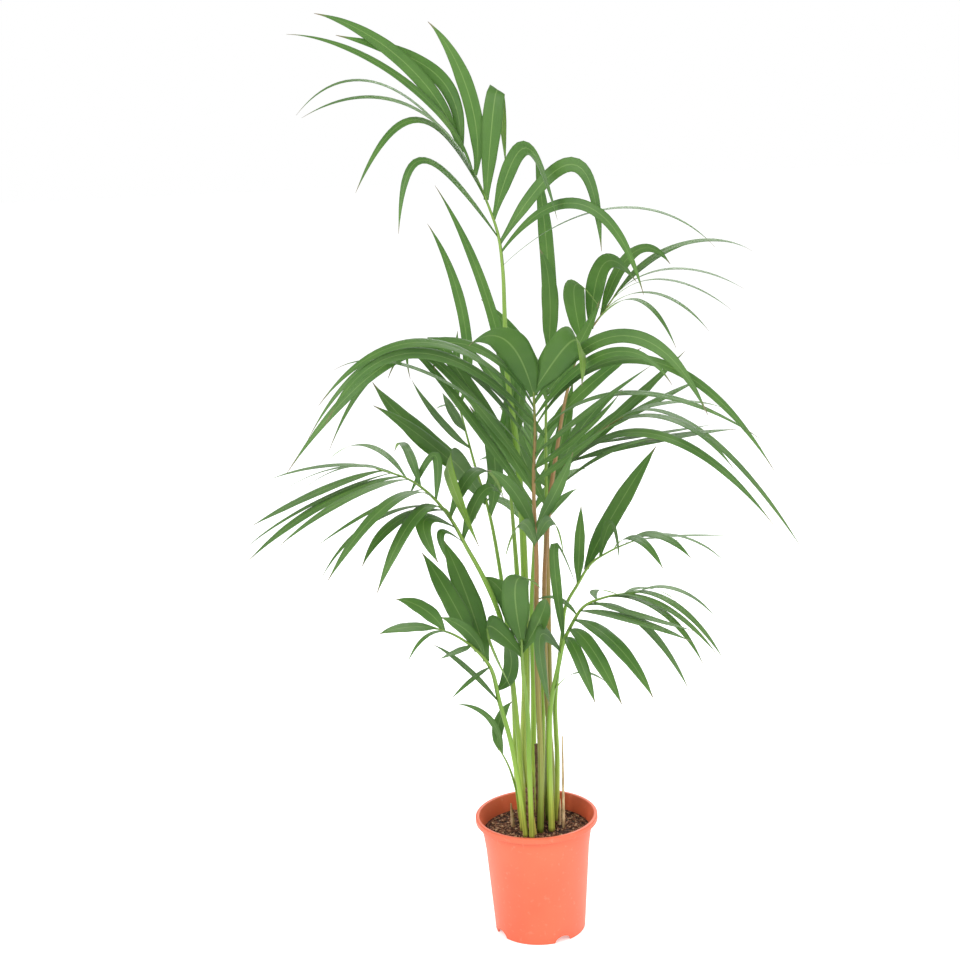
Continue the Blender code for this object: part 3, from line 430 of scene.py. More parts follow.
            (0.99, (4, 6, 5.5), (7.5, 11, 7), 2.4, 0.5, 0.5),
            (0.99, (-0.5, 6, 4.5), (-1, 13, 8), 2.4, 0.3, 0.5),
        ],
    },
}

# Small pieces at the foot of the clump, in centimetres: path, radii
STUBS = {
    "trunk_ringed": ([(-1, 0, 18.23), (-1, 0, 25.96)], (0.88, 0.8, 0.84, 0.76, 0.8)),
    "trunk_fibrous": ([(0.8, 1.4, 18.23), (0.7, 1.4, 33.0)], (0.82, 0.75, 0.65, 0.6)),
    "spike_sheath": ([(-0.4, -2.8, 18.23), (-0.8, -2.5, 23.0)], (0.32, 0.26, 0.08)),
    "husk_left": ([(-4.1, 0.9, 18.23), (-4.3, 1.0, 22.5)], (0.34, 0.3, 0.12)),
    "husk_right": ([(3.9, 0.9, 18.23), (4.2, 0.9, 23.0)], (0.36, 0.3, 0.1)),
    "old_stalk": ([(4.6, -0.6, 18.23), (4.9, -0.4, 35.0)], (0.26, 0.22, 0.12)),
}


# ---------------------------------------------------------------- materials


def linear(hex_colour):
    """sRGB hex to the linear colour a shader takes."""
    channels = [int(hex_colour[i : i + 2], 16) / 255 for i in (1, 3, 5)]
    return (*(c / 12.92 if c <= 0.04045 else ((c + 0.055) / 1.055) ** 2.4 for c in channels), 1.0)


class Nodes:
    """A material's node tree, with one call per node."""

    def __init__(self, name):
        self.material = bpy.data.materials.new(name)
        self.material.use_nodes = True
        self.tree = self.material.node_tree
        self.shader = self.tree.nodes["Principled BSDF"]
        self.output = self.tree.nodes["Material Output"]

    def add(self, kind, inputs=None, **settings):
        node = self.tree.nodes.new(kind)
        for key, value in settings.items():
            setattr(node, key, value)
        for key, value in (inputs or {}).items():
            if isinstance(value, bpy.types.NodeSocket):
                self.tree.links.new(value, node.inputs[key])
            else:
                node.inputs[key].default_value = value
        return node

    def link(self, source, target):
        self.tree.links.new(source, target)

    def noise(self, scale, detail=3.0, vector=None):
        inputs = {"Scale": scale, "Detail": detail}
        vector = vector or self.add("ShaderNodeTexCoord").outputs["Object"]
        inputs["Vector"] = vector
        return self.add("ShaderNodeTexNoise", inputs).outputs["Fac"]

    def ramp(self, fac, stops):
        node = self.add("ShaderNodeValToRGB", {"Fac": fac})
        ramp = node.color_ramp
        while len(ramp.elements) < len(stops):
            ramp.elements.new(0.5)
        for element, (position, colour) in zip(ramp.elements, stops):
            element.position = position
            element.color = linear(colour)
        return node.outputs["Color"]

    def mix(self, fac, a, b, blend="MIX"):
        node = self.add("ShaderNodeMix", data_type="RGBA", blend_type=blend)
        for index, value in ((0, fac), (6, a), (7, b)):
            if isinstance(value, bpy.types.NodeSocket):
                self.link(value, node.inputs[index])
            elif isinstance(value, str):
                node.inputs[index].default_value = linear(value)
            else:
                node.inputs[index].default_value = value
        return node.outputs[2]

    def math(self, operation, a, b=0.0):
        node = self.add("ShaderNodeMath", operation=operation)
        for index, value in ((0, a), (1, b)):
            if isinstance(value, bpy.types.NodeSocket):
                self.link(value, node.inputs[index])
            else:
                node.inputs[index].default_value = value
        return node.outputs[0]

    def bump(self, height, strength, distance):
        node = self.add("ShaderNodeBump", {"Height": height, "Strength": strength, "Distance": distance})
        self.link(node.outputs["Normal"], self.shader.inputs["Normal"])


def leaf_material(name, dark, light, rib, translucence, glow, roughness):
    """One side of a leaflet: a lengthwise-veined blade that lets light through.

    BladeSize holds centimetres across and along the blade, BladeShare the share
    across (0 to 1) and along (0 at the stalk, 1 at the tip).
    """
    m = Nodes(name)
    size = m.add("ShaderNodeUVMap", uv_map="BladeSize").outputs["UV"]
    share = m.add("ShaderNodeUVMap", uv_map="BladeShare").outputs["UV"]
    cm = m.add("ShaderNodeSeparateXYZ", {"Vector": size})
    part = m.add("ShaderNodeSeparateXYZ", {"Vector": share})
    across = m.math("ABSOLUTE", m.math("SUBTRACT", part.outputs["X"], 0.5))
    along = part.outputs["Y"]
    patches = m.noise(14.0, 3.0)
    colour = m.ramp(patches, ((0.3, dark), (0.7, light)))
    # lengthwise veins about 0.9 mm apart
    stretched = m.add("ShaderNodeMapping", {"Vector": size, "Scale": (11.0, 0.12, 1.0)})
    veins = m.noise(1.0, 2.0, stretched.outputs["Vector"])
    colour = m.mix(m.math("MULTIPLY", veins, 0.35), colour, light)
    midrib = m.math("LESS_THAN", across, 0.025)
    colour = m.mix(m.math("MULTIPLY", midrib, 0.55), colour, rib)
    # dry brown tip
    dry = m.add("ShaderNodeMapRange", {"Value": along, "From Min": 0.93, "From Max": 0.985})
    colour = m.mix(dry.outputs["Result"], colour, "#8a7a5c")
    m.link(colour, m.shader.inputs["Base Color"])
    m.shader.inputs["Roughness"].default_value = roughness
    m.shader.inputs["Sheen Weight"].default_value = 0.12
    m.shader.inputs["Sheen Roughness"].default_value = 0.5
    wave = m.math("SINE", m.math("MULTIPLY", cm.outputs["X"], 52.0))
    m.bump(m.math("ADD", wave, m.math("MULTIPLY", veins, 1.6)), 0.25, 0.0004)
    through = m.add("ShaderNodeBsdfTranslucent", {"Color": m.mix(0.5, colour, glow)})
    blend = m.add("ShaderNodeMixShader", {"Fac": translucence})
    m.link(m.shader.outputs["BSDF"], blend.inputs[1])
    m.link(through.outputs["BSDF"], blend.inputs[2])
    m.link(blend.outputs["Shader"], m.output.inputs["Surface"])
    return m.material


def stalk_material(name, stops, streak):
    """Smooth green stalk, streaked lengthwise, changing colour from foot to tip."""
    m = Nodes(name)
    size = m.add("ShaderNodeUVMap", uv_map="BladeSize").outputs["UV"]
    share = m.add("ShaderNodeUVMap", uv_map="BladeShare").outputs["UV"]
    part = m.add("ShaderNodeSeparateXYZ", {"Vector": share})
    colour = m.ramp(part.outputs["Y"], stops)
    stretched = m.add("ShaderNodeMapping", {"Vector": size, "Scale": (4.0, 0.06, 1.0)})
    streaks = m.noise(1.0, 3.0, stretched.outputs["Vector"])
    sharp = m.add("ShaderNodeMapRange", {"Value": streaks, "From Min": 0.45, "From Max": 0.62})
    colour = m.mix(m.math("MULTIPLY", sharp.outputs["Result"], 0.55), colour, streak)
    m.link(colour, m.shader.inputs["Base Color"])
    m.shader.inputs["Roughness"].default_value = 0.42
    m.bump(streaks, 0.3, 0.0006)
    return m.material


def bark_material(name, dark, light, ring_spacing):
    """Dry stem base: rings and fibres."""
    m = Nodes(name)
    point = m.add("ShaderNodeTexCoord").outputs["Object"]
    rings_at = m.add("ShaderNodeMapping", {"Vector": point, "Scale": (60.0, 60.0, 1 / ring_spacing)})
    rings = m.noise(1.0, 3.0, rings_at.outputs["Vector"])
    fibres_at = m.add("ShaderNodeMapping", {"Vector": point, "Scale": (900.0, 900.0, 40.0)})
    fibres = m.noise(1.0, 4.0, fibres_at.outputs["Vector"])
    both = m.math("ADD", m.math("MULTIPLY", rings, 0.6), m.math("MULTIPLY", fibres, 0.4))
    m.link(m.ramp(both, ((0.36, dark), (0.60, light))), m.shader.inputs["Base Color"])
    m.shader.inputs["Roughness"].default_value = 0.85
    m.bump(both, 0.7, 0.0015)
    return m.material


def soil_material():
    """Moist peat with fine pale fibres."""
    m = Nodes("peat_soil")
    lumps = m.noise(260.0, 6.0)
    grains = m.noise(1500.0, 4.0)
    both = m.math("ADD", m.math("MULTIPLY", lumps, 0.65), m.math("MULTIPLY", grains, 0.35))
    stops = ((0.35, "#1c0f09"), (0.50, "#3a2015"), (0.60, "#5f3d2a"), (0.70, "#9a7556"))
    m.link(m.ramp(both, stops), m.shader.inputs["Base Color"])
    m.shader.inputs["Roughness"].default_value = 0.95
    m.bump(both, 0.9, 0.003)
    return m.material


def chip_material():
    """Bark chips and dry fibres lying on the peat."""
    m = Nodes("bark_chips")
    tone = m.noise(180.0, 2.0)
    grain = m.noise(900.0, 3.0)
    stops = ((0.30, "#3b2114"), (0.48, "#7a4c33"), (0.60, "#b28a67"), (0.72, "#d9bf9c"))
    colour = m.mix(m.math("MULTIPLY", grain, 0.3), m.ramp(tone, stops), "#4a2c1c")
    m.link(colour, m.shader.inputs["Base Color"])
    m.shader.inputs["Roughness"].default_value = 0.9
    m.bump(grain, 0.5, 0.0008)
    return m.material


def pot_material():
    """Terracotta-coloured polypropylene, satin, with faint flow marks and dust."""
    m = Nodes("terracotta_plastic")
    broad = m.noise(9.0, 2.0)
    colour = m.ramp(broad, ((0.3, "#d9603f"), (0.7, "#e06a48")))
    dust = m.noise(120.0, 5.0)
    speck = m.add("ShaderNodeMapRange", {"Value": dust, "From Min": 0.60, "From Max": 0.75})
    colour = m.mix(m.math("MULTIPLY", speck.outputs["Result"], 0.25), colour, "#e79a80")
    m.link(colour, m.shader.inputs["Base Color"])
    rough = m.add("ShaderNodeMapRange", {"Value": dust, "To Min": 0.40, "To Max": 0.52})
    m.link(rough.outputs["Result"], m.shader.inputs["Roughness"])
    m.shader.inputs["Subsurface Weight"].default_value = 0.05
    m.shader.inputs["Subsurface Radius"].default_value = (0.004, 0.001, 0.0005)
    m.bump(m.noise(700.0, 3.0), 0.06, 0.0003)
    return m.material


# ------------------------------------------------------------------ meshes


def unit(vector):
    return vector / max(float(np.linalg.norm(vector)), 1e-9)


def smooth_path(points, t):
    """Point at t (0 to 1) on a smooth curve through all the points."""
    p = np.asarray(points, float)
    knots = np.concatenate(([0.0], np.cumsum(np.linalg.norm(np.diff(p, axis=0), axis=1))))
    knots /= knots[-1]
    t = min(max(t, 0.0), 1.0)
    i = min(max(int(np.searchsorted(knots, t, side="right")) - 1, 0), len(p) - 2)
    step = knots[i + 1] - knots[i]
    s = (t - knots[i]) / step

    def slope(k):
        if k == 0:
            return (p[1] - p[0]) / (knots[1] - knots[0])
        if k == len(p) - 1:
            return (p[-1] - p[-2]) / (knots[-1] - knots[-2])
        before = knots[k] - knots[k - 1]
        after = knots[k + 1] - knots[k]
        rise_in = (p[k] - p[k - 1]) / before
        rise_out = (p[k + 1] - p[k]) / after
        return (rise_in * after + rise_out * before) / (before + after)

    m0 = slope(i) * step
    m1 = slope(i + 1) * step
    return (
        (2 * s**3 - 3 * s**2 + 1) * p[i]
        + (s**3 - 2 * s**2 + s) * m0
        + (3 * s**2 - 2 * s**3) * p[i + 1]
        + (s**3 - s**2) * m1
    )


def blade_line(base, middle, tip, fold, count):
    """Points along a leaflet: a cubic through its middle, sharper with more fold."""
    pull = (middle - (base + tip) * (0.125 + 0.375 * (1 - fold))) / (0.75 * fold)
    near = base + (pull - base) * fold
    far = tip + (pull - tip) * fold
    u = np.linspace(0, 1, count + 1)[:, None]
    return (1 - u) ** 3 * base + 3 * (1 - u) ** 2 * u * near + 3 * (1 - u) * u**2 * far + u**3 * tip


def stalk_frames(frond, places):
    """Centre and two cross directions of the stalk at each place."""
    points = frond["stalk"]
    side = np.array((0.0, -1.0, 0.0))
    frames = []
    for t in places:
        ahead = smooth_path(points, min(t + 0.004, 1)) - smooth_path(points, max(t - 0.004, 0))
        direction = UP if t == 0 else unit(ahead)
        side = unit(side - direction * np.dot(side, direction))
        frames.append((smooth_path(points, t), side, np.cross(direction, side)))
    return frames


def leaflet_places(frond, length):
    """Middle of each leaflet's own stretch of stalk, kept apart from its neighbours'."""
    leaflets = sorted(frond["leaflets"], key=lambda row: row[0])
    need = 0.75 / length
    places = [row[0] for row in leaflets]
    limit = 1 - need * 0.6
    for k in range(len(places) - 1, -1, -1):
        places[k] = min(places[k], limit)
        limit = places[k] - need
    return list(zip(places, leaflets))


def wall_radius(z):
    """Outer radius of the pot's wall at a height."""
    heights = (0, SHOULDER_Z, COLLAR_FOOT_Z, POT_HEIGHT - LIP_HEIGHT)
    collar_foot = COLLAR_RADIUS - 0.005
    return float(np.interp(z, heights, (BASE_RADIUS, SHOULDER_RADIUS, collar_foot, COLLAR_RADIUS)))


class Builder:
    """Collects vertices, faces, material numbers and the two UV maps of a piece."""

    def __init__(self):
        self.verts, self.faces, self.slots, self.size, self.share = [], [], [], [], []

    def row(self, points):
        first = len(self.verts)
        self.verts.extend(points)
        return list(range(first, first + len(points)))

    def face(self, corners, slot, size, share):
        self.faces.append(corners)
        self.slots.append(slot)
        self.size.extend(size)
        self.share.extend(share)

    def plain(self, corners):
        """A face of the first material whose UV maps aren't read."""
        blank = [(0, 0)] * len(corners)
        self.face(corners, 0, blank, blank)

    def finish(self, name, materials, scale=CM):
        mesh = bpy.data.meshes.new(name)
        mesh.from_pydata([tuple(float(c) * scale for c in v) for v in self.verts], [], self.faces)
        for item in materials:
            mesh.materials.append(item)
        mesh.polygons.foreach_set("material_index", self.slots)
        mesh.polygons.foreach_set("use_smooth", [True] * len(self.faces))
        for layer, values in (("BladeSize", self.size), ("BladeShare", self.share)):
            uv = mesh.uv_layers.new(name=layer)
            uv.data.foreach_set("uv", np.array(values, dtype=np.float32).ravel())
        mesh.update()
        piece = bpy.data.objects.new(name, mesh)
        bpy.context.scene.collection.objects.link(piece)
        return piece


def blade_frames(frond, base, leaflet, rng):
    """Centre, heading, face direction and half width at every step of a leaflet."""
    _, middle, tip, width, level, fold = leaflet
    line = blade_line(base, middle, tip, fold, LINE_STEPS)
    along = np.concatenate(([0.0], np.cumsum(np.linalg.norm(np.diff(line, axis=0), axis=1))))
    length = along[-1]
    along /= length
    heading = np.gradient(line, axis=0)
    heading /= np.linalg.norm(heading, axis=1)[:, None]
    face = unit(np.array(frond["faces"], float)) * (1 - level) + UP * level
    normals = []
    for direction in heading:
        face = unit(face - direction * np.dot(face, direction))
        normals.append(face)
    normals = np.array(normals)
    phase = rng.uniform(0, 6.28)
    steps = []
    for k in range(BLADE_STEPS + 1):
        s = k / BLADE_STEPS
        centre, direction, normal = (
            np.array([np.interp(s, along, rows[:, c]) for c in range(3)])
            for rows in (line, heading, normals)
        )
        direction = unit(direction)
        normal = unit(normal - direction * np.dot(normal, direction))
        half = width * np.interp(s, *BLADE_WIDTH) / 2
        half *= 1 + EDGE_WAVE * math.sin(phase + EDGE_WAVE_TURNS * s)
        steps.append((s, s * length, centre, direction, normal, half))
    return steps


def add_blade(build, frond, base, leaflet, rng):
    """One leaflet: upper and under skins of a shallow V, closed at edges and ends."""
    steps = blade_frames(frond, base, leaflet, rng)
    shares = [i / BLADE_COLUMNS for i in range(BLADE_COLUMNS + 1)]
    tops, unders, data = [], [], []
    for s, distance, centre, direction, normal, half in steps:
        across = np.cross(direction, normal)
        depth = FOLD_DEPTH * half * (1 - 0.4 * s)
        thick = BLADE_THICKNESS * (1 - 0.5 * s) / 2
        top, under = [], []
        for share in shares:
            x = 2 * share - 1
            lift = depth * (abs(x) - 0.5) - ARCH_DEPTH * half * x * x
            point = centre + across * x * half + normal * lift
            rib = RIB_HEIGHT * math.exp(-((x / RIB_SHARE) ** 2))
            edge = thick * (1 - 0.7 * abs(x) ** 3) + rib
            top.append(point + normal * edge)
            under.append(point - normal * edge)
        tops.append(build.row(top))
        unders.append(build.row(under))
        data.append((s, distance, half))
    for k in range(BLADE_STEPS):
        for i in range(BLADE_COLUMNS):
            size, share = [], []
            for row, column in ((k, i), (k, i + 1), (k + 1, i + 1), (k + 1, i)):
                s, distance, half = data[row]
                size.append(((2 * shares[column] - 1) * half, distance))
                share.append((shares[column], s))
            corners = [tops[k][i], tops[k][i + 1], tops[k + 1][i + 1], tops[k + 1][i]]
            build.face(corners[::-1], 0, size[::-1], share[::-1])
            corners = [unders[k][i], unders[k][i + 1], unders[k + 1][i + 1], unders[k + 1][i]]
            build.face(corners, 1, size, share)
        for i, flip in ((0, False), (BLADE_COLUMNS, True)):
            s, distance, half = data[k]
            corners = [tops[k][i], tops[k + 1][i], unders[k + 1][i], unders[k][i]]
            size = [((2 * shares[i] - 1) * half, distance)] * 4
            share = [(shares[i], s)] * 4
            build.face(corners if flip else corners[::-1], 0, size, share)
    for row, flip in ((0, False), (BLADE_STEPS, True)):
        corners = tops[row] + unders[row][::-1]
        count = len(corners)
        s, distance, half = data[row]
        build.face(corners if flip else corners[::-1], 0, [(0, distance)] * count, [(0.5, s)] * count)


def add_stalk(build, frond, slot, rings=STALK_RINGS):
    """Round tapering stalk, closed at both ends."""
    points = np.array(frond["stalk"], float)
    length = np.linalg.norm(np.diff(points, axis=0), axis=1).sum()
    places = [k / rings for k in range(rings + 1)]
    rows, radii = [], []
    for t, (centre, side, across) in zip(places, stalk_frames(frond, places)):
        radius = float(np.interp(t, (0, NECK, 1), frond["radius"])) * INSIDE_STALK
        ring = []
        for j in range(STALK_SIDES):
            angle = 2 * math.pi * j / STALK_SIDES
            ring.append(centre + radius * (math.cos(angle) * side + math.sin(angle) * across))
        rows.append(build.row(ring))
        radii.append(radius)
    for k in range(rings):
        for j in range(STALK_SIDES):
            n = (j + 1) % STALK_SIDES
            around = [2 * math.pi * radii[k] * q / STALK_SIDES for q in (j, j + 1)]
            low, high = places[k] * length, places[k + 1] * length
            size = [(around[0], low), (around[1], low), (around[1], high), (around[0], high)]
            share = [(0, places[k]), (1, places[k]), (1, places[k + 1]), (0, places[k + 1])]
            build.face([rows[k][j], rows[k][n], rows[k + 1][n], rows[k + 1][j]], slot, size, share)
    build.face(rows[0][::-1], slot, [(0, 0)] * STALK_SIDES, [(0, 0)] * STALK_SIDES)
    build.face(rows[-1], slot, [(0, length)] * STALK_SIDES, [(0, 1)] * STALK_SIDES)


def build_frond(name, frond, materials, rng):
    """One stalk with all of its leaflets, as a single piece."""
    build = Builder()
    add_stalk(build, frond, 2)
    points = np.array(frond["stalk"], float)
    length = np.linalg.norm(np.diff(points, axis=0), axis=1).sum()
    for place, leaflet in leaflet_places(frond, length):
        base = smooth_path(points, place)
        middle = base + np.array(leaflet[1], float)
        tip = base + np.array(leaflet[2], float)
        add_blade(build, frond, base, (place, middle, tip, *leaflet[3:]), rng)
    piece = build.finish("frond_" + name, materials)
    settle(piece, "leaf_green", "frond_" + name)


def settle(piece, slot, *nodes):
    """The piece stands for its nodes and rides the root."""
    piece.data.transform(Matrix.Translation(POT_PLACE))
    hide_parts(*nodes)
    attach(piece, "root")


def revolve(build, profile, segments):
    """Turn a profile about Z; radius 0 closes on the axis."""
    rows = []
    for radius, z in profile:
        if radius == 0:
            rows.append(build.row([(0.0, 0.0, z)]) * segments)
            continue
        ring = []
        for k in range(segments):
            angle = 2 * math.pi * k / segments
            ring.append((radius * math.cos(angle), radius * math.sin(angle), z))
        rows.append(build.row(ring))
    for above, below in zip(rows, rows[1:]):
        for k in range(segments):
            n = (k + 1) % segments
            corners = list(dict.fromkeys((above[k], below[k], below[n], above[n])))
            build.plain(corners)


def arc(centre, radius, start, stop, count):
    """Points of a profile's round corner, angles in degrees."""
    angles = [math.radians(start + (stop - start) * k / (count - 1)) for k in range(count)]
    return [(centre[0] + radius * math.cos(a), centre[1] + radius * math.sin(a)) for a in angles]


def build_pot(mat):
    """Turned wall with a rolled lip, a collar and notches in its foot."""
    lip_z = POT_HEIGHT - LIP_HEIGHT
    bead = LIP_BEAD
    collar_foot = wall_radius(COLLAR_FOOT_Z)
    floor = FLOOR_Z + FLOOR_THICKNESS
    inner = [(0, floor), (0.03, floor), (wall_radius(FLOOR_Z) - POT_WALL - 0.002, floor)]
    inner += [(wall_radius(FLOOR_Z) - POT_WALL, floor + 0.002)]
    inner += [(SHOULDER_RADIUS - POT_WALL, SHOULDER_Z), (collar_foot - POT_WALL, COLLAR_FOOT_Z)]
    inner += [(COLLAR_RADIUS - POT_WALL, lip_z), (RIM_RADIUS - 3.2 * bead, POT_HEIGHT - 0.0025)]
    lip = arc((RIM_RADIUS - 2.2 * bead, POT_HEIGHT - bead), bead, 140, 90, 6)
    lip += arc((RIM_RADIUS - bead, POT_HEIGHT - bead), bead, 80, 0, 8)
    lip += arc((RIM_RADIUS - 0.001, lip_z + 0.001), 0.001, 0, -90, 5)
    lip += [(COLLAR_RADIUS + 0.0045, lip_z), (COLLAR_RADIUS + 0.004, lip_z + 0.0012)]
    lip += arc((COLLAR_RADIUS + 0.001, lip_z + 0.0003), 0.0012, 90, 200, 5)
    wall = [(collar_foot, COLLAR_FOOT_Z + 0.003)]
    wall += [(collar_foot - 0.0004, COLLAR_FOOT_Z), (SHOULDER_RADIUS + 0.0006, SHOULDER_Z + 0.002)]
    wall += [(SHOULDER_RADIUS, SHOULDER_Z - 0.001), (BASE_RADIUS, 0.0012)]
    foot = arc((BASE_RADIUS - 0.001, 0.001), 0.001, 0, -90, 4)
    foot += [(BASE_RADIUS - FOOT_WIDTH, 0), (BASE_RADIUS - FOOT_WIDTH, FLOOR_Z), (0, FLOOR_Z)]
    build = Builder()
    revolve(build, inner + lip + wall + foot, POT_SEGMENTS)
    pot = build.finish("pot", [mat], scale=1.0)
    for angle in NOTCH_ANGLES:
        turn = math.radians(angle)
        bpy.ops.mesh.primitive_cylinder_add(vertices=48, radius=NOTCH_WIDTH / 2, depth=CUTTER_DEPTH)
        cutter = bpy.context.object
        cutter.scale = (1.0, NOTCH_HEIGHT / (NOTCH_WIDTH / 2), 1.0)
        cutter.rotation_euler = (math.pi / 2, 0, turn + math.pi / 2)
        reach = BASE_RADIUS - 0.0015
        cutter.location = (reach * math.cos(turn), reach * math.sin(turn), -0.0003)
        boolean = pot.modifiers.new("notch", "BOOLEAN")
        boolean.solver = "EXACT"
        boolean.object = cutter
        with bpy.context.temp_override(object=pot, active_object=pot):
            bpy.ops.object.modifier_apply(modifier="notch")
        bpy.data.objects.remove(cutter, do_unlink=True)
    with bpy.context.temp_override(object=pot, active_object=pot, selected_editable_objects=[pot]):
        bpy.ops.object.shade_smooth_by_angle(angle=math.radians(SMOOTH_ANGLE))
    settle(pot, "pot_plastic", "pot")


def build_soil(mat, rng):
    """Uneven peat surface over a plain block that fills the pot."""
    rings, segments = SOIL_RINGS, SOIL_SEGMENTS
    edge = wall_radius(SOIL_TOP) - POT_WALL - SOIL_PLAY
    rows = []
    build = Builder()
    bottom = FLOOR_Z + FLOOR_THICKNESS + 0.0006
    for k in range(rings + 1):
        radius = edge * k / rings
        ring = []
        for j in range(segments if k else 1):
            angle = 2 * math.pi * j / segments
            x, y = radius * math.cos(angle), radius * math.sin(angle)
            wave = math.sin(x * 190 + 2 * math.sin(y * 120)) * math.cos(y * 170 + x * 60)
            lump = 0.0011 * wave + rng.uniform(-0.0009, 0.0009)
            mound = 0.0025 * math.exp(-((radius / 0.05) ** 2)) - 0.0018
            ring.append((x, y, SOIL_TOP + mound + lump * (1 if k < rings else 0.3)))
        rows.append(build.row(ring) if k else build.row(ring) * segments)
    for z in (SHOULDER_Z, bottom):
        radius = wall_radius(z) - POT_WALL - SOIL_PLAY
        spokes = [2 * math.pi * j / segments for j in range(segments)]
        rows.append(build.row([(radius * math.cos(a), radius * math.sin(a), z) for a in spokes]))
    rows.append(build.row([(0.0, 0.0, bottom)]) * segments)
    for inner, outer in zip(rows, rows[1:]):
        for j in range(segments):
            n = (j + 1) % segments
            corners = list(dict.fromkeys((inner[j], outer[j], outer[n], inner[n])))
            build.plain(corners)
    piece = build.finish("soil", [mat], scale=1.0)
    settle(piece, "soil_peat", "soil")


def add_chip(build, centre, size, turn, tilt):
    """A small wedge-like chip: a box with its corners pulled about."""
    length, width, height = size
    corners = []
    for z in (-1, 1):
        for x, y in ((-1, -1), (1, -1), (1, 1), (-1, 1)):
            px = x * length / 2 * (1 - 0.2 * (z > 0))
            py = y * width / 2 * (1 - 0.3 * (x > 0))
            pz = z * height / 2 + px * math.sin(tilt)
            corners.append(
                (
                    centre[0] + px * math.cos(turn) - py * math.sin(turn),
                    centre[1] + px * math.sin(turn) + py * math.cos(turn),
                    centre[2] + pz,
                )
            )
    row = build.row(corners)
    quads = ((3, 2, 1, 0), (4, 5, 6, 7), (0, 1, 5, 4), (1, 2, 6, 5), (2, 3, 7, 6), (3, 0, 4, 7))
    for quad in quads:
        build.plain([row[i] for i in quad])


def build_chips(mat, rng):
    """Chips, crumbs and fibres scattered over the soil."""
    build = Builder()
    reach = wall_radius(SOIL_TOP) - POT_WALL - 0.006
    for _ in range(CHIP_COUNT):
        radius = reach * math.sqrt(rng.random())
        angle = rng.uniform(0, 2 * math.pi)
        fibre = rng.random() < FIBRE_SHARE
        if fibre:
            size = (rng.uniform(0.006, 0.016), rng.uniform(0.0006, 0.0012), 0.0007)
        else:
            size = (rng.uniform(0.0025, 0.008), rng.uniform(0.0018, 0.004), rng.uniform(0.001, 0.0026))
        centre = (radius * math.cos(angle), radius * math.sin(angle), SOIL_TOP + rng.uniform(0.0, 0.0016))
        add_chip(build, centre, size, rng.uniform(0, 6.28), rng.uniform(-0.35, 0.35))
    piece = build.finish("soil_chips", [mat], scale=1.0)
    for polygon in piece.data.polygons:
        polygon.use_smooth = False
    piece.data.transform(Matrix.Translation(POT_PLACE))
    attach(piece, "root")


def build_stub(name, points, radii, mat, rng, ridge):
    """Rough tapering stub at the foot of the clump, with low ridges across it."""
    rings, sides = 60, 40
    places = [k / rings for k in range(rings + 1)]
    build = Builder()
    rows = []
    steps = np.linspace(0, 1, len(radii))
    for t, (centre, side, across) in zip(places, stalk_frames({"stalk": points}, places)):
        radius = float(np.interp(t, steps, radii)) * INSIDE_STUB
        radius *= 1 + ridge * (abs(math.sin(t * 23)) ** 3 - 0.4)
        ring = []
        for j in range(sides):
            angle = 2 * math.pi * j / sides
            wobble = 1 + rng.uniform(-0.03, 0.03)
            spoke = math.cos(angle) * side + math.sin(angle) * across
            ring.append(centre + radius * wobble * spoke)
        rows.append(build.row(ring))
    for k in range(rings):
        for j in range(sides):
            n = (j + 1) % sides
            quad = [rows[k][j], rows[k][n], rows[k + 1][n], rows[k + 1][j]]
            build.plain(quad)
    build.plain(rows[0][::-1])
    build.plain(rows[-1])
    settle(build.finish(name, [mat]), "trunk_bark", name)


# ------------------------------------------------------------------- stage


def area_light(name, location, target, size, power):
    data = bpy.data.lights.new(name, "AREA")
    data.energy = power
    data.size = size
    light = bpy.data.objects.new(name, data)
    light.location = Vector(location) + POT_PLACE
    light.rotation_euler = (Vector(target) - Vector(location)).to_track_quat("-Z", "Y").to_euler()
    bpy.context.scene.collection.objects.link(light)


def build_stage():
    """White floor and sky, with soft lights at the left, the right and behind."""
    mesh = bpy.data.meshes.new("floor")
    reach = FLOOR_REACH
    corners = [(-reach, -reach, 0), (reach, -reach, 0), (reach, reach, 0), (-reach, reach, 0)]
    mesh.from_pydata(corners, [], [(0, 1, 2, 3)])
    floor = bpy.data.objects.new("floor", mesh)
    bpy.context.scene.collection.objects.link(floor)
    m = Nodes("white_floor")
    m.shader.inputs["Base Color"].default_value = linear("#fbfbfb")
    m.shader.inputs["Roughness"].default_value = 0.9
    m.shader.inputs["Emission Color"].default_value = linear("#ffffff")
    m.shader.inputs["Emission Strength"].default_value = 0.34
    mesh.materials.append(m.material)

    world = bpy.data.worlds.new("studio")
    bpy.context.scene.world = world
    world.use_nodes = True
    tree = world.node_tree
    background = tree.nodes["Background"]
    path = tree.nodes.new("ShaderNodeLightPath")
    strength = tree.nodes.new("ShaderNodeMix")
    strength.inputs[2].default_value = 0.75
    strength.inputs[3].default_value = 1.0
    tree.links.new(path.outputs["Is Camera Ray"], strength.inputs[0])
    tree.links.new(strength.outputs[0], background.inputs["Strength"])
    background.inputs["Color"].default_value = (1, 1, 1, 1)
    for name, (location, size, power) in LIGHTS.items():
        area_light(name, location, LIT_POINT, size, power)


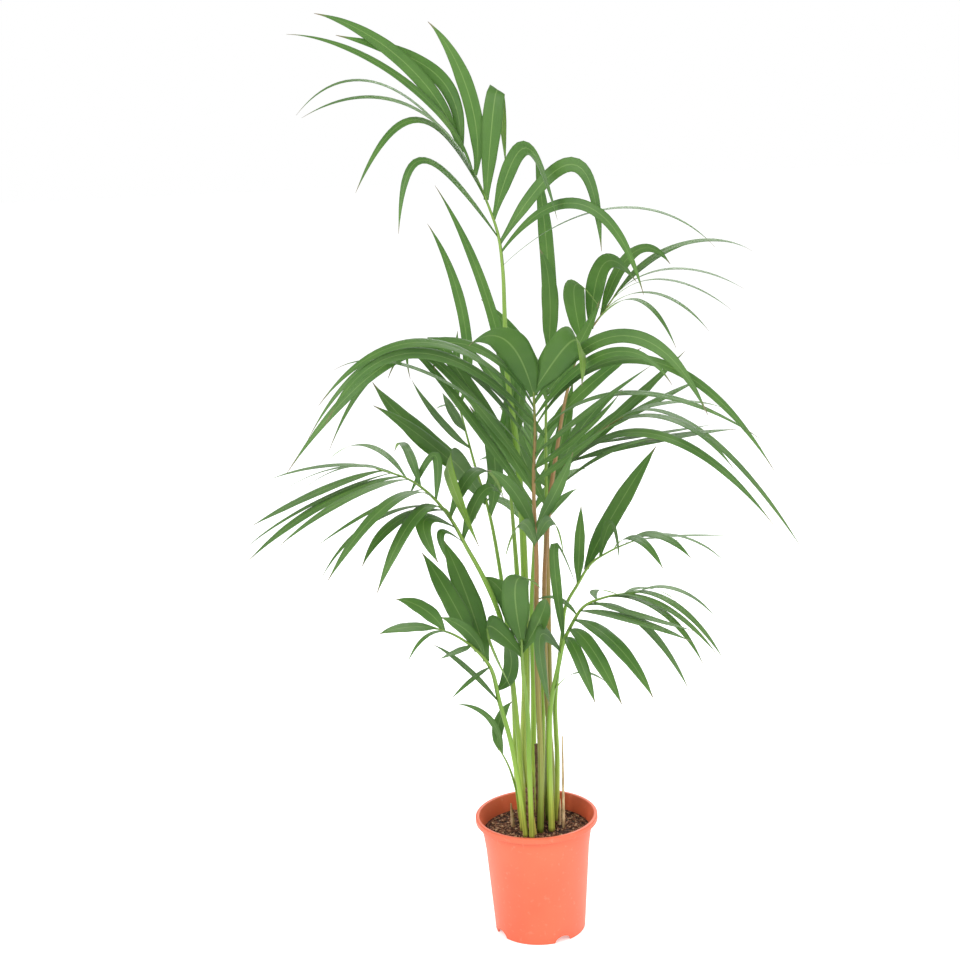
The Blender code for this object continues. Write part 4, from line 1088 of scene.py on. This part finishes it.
def build_camera():
    """Eye level with the crown, looking a little down, with a slight roll."""
    data = bpy.data.cameras.new("camera")
    data.lens = CAMERA_LENS
    data.sensor_width = CAMERA_SENSOR
    data.clip_end = 60
    camera = bpy.data.objects.new("camera", data)
    camera.location = Vector(CAMERA_PLACE) + POT_PLACE
    pitch, roll = math.radians(CAMERA_PITCH), math.radians(CAMERA_ROLL)
    forward = Vector((0, math.cos(pitch), -math.sin(pitch)))
    level = Vector((1, 0, 0))
    upright = level.cross(forward)
    right = math.cos(roll) * level - math.sin(roll) * upright
    up = right.cross(forward)
    turn = Matrix((right, up, -forward)).transposed()
    camera.rotation_euler = turn.to_euler()
    bpy.context.scene.collection.objects.link(camera)
    bpy.context.scene.camera = camera


def main():
    scene = bpy.context.scene
    scene.view_settings.view_transform = "Standard"
    rng = random.Random(7)
    upper = leaf_material("leaf_upper", "#3f6b26", "#5a8236", "#8fae62", 0.24, "#86b62c", 0.42)
    # under side: its paler green is partly the blade's own paler underside and partly painted light
    # shining through, as bright as a backlit blade, on top of the translucent shader
    under = leaf_material("leaf_under_painted_backlight", "#6a9628", "#8ab23a", "#b9cc78", 0.36, "#96cc2c", 0.5)
    bright = ((0.0, "#b9c457"), (0.2, "#8fb03c"), (0.5, "#6f9a2c"), (0.8, "#7f9f42"), (1.0, "#6d8f3a"))
    ochre = ((0.0, "#7f9a3a"), (0.3, "#8d8a3e"), (0.6, "#a0764a"), (0.9, "#8d7747"), (1.0, "#6d8f3a"))
    green_stalk = stalk_material("stalk_green", bright, "#5c7c24")
    ochre_stalk = stalk_material("stalk_ochre", ochre, "#6c5a2c")
    for name, frond in FRONDS.items():
        stalk = ochre_stalk if name in ("front", "right", "upper_right") else green_stalk
        build_frond(name, frond, [upper, under, stalk], rng)
    ringed = bark_material("ringed_trunk", "#6b4636", "#c49a80", 0.004)
    fibrous = bark_material("fibrous_trunk", "#3f2a20", "#8c6a50", 0.012)
    papery = bark_material("papery_husk", "#8c7048", "#dcc79a", 0.02)
    sheath = stalk_material("spike_sheath", ((0.0, "#d6c96a"), (1.0, "#7f9a3a")), "#8c8a3a")
    finish = {"trunk_ringed": ringed, "trunk_fibrous": fibrous, "spike_sheath": sheath}
    for name, (points, radii) in STUBS.items():
        ridge = 0.10 if name.startswith("trunk") else 0.03
        build_stub(name, points, radii, finish.get(name, papery), rng, ridge)
    build_pot(pot_material())
    build_soil(soil_material(), rng)
    build_chips(chip_material(), rng)
    build_stage()
    build_camera()


main()
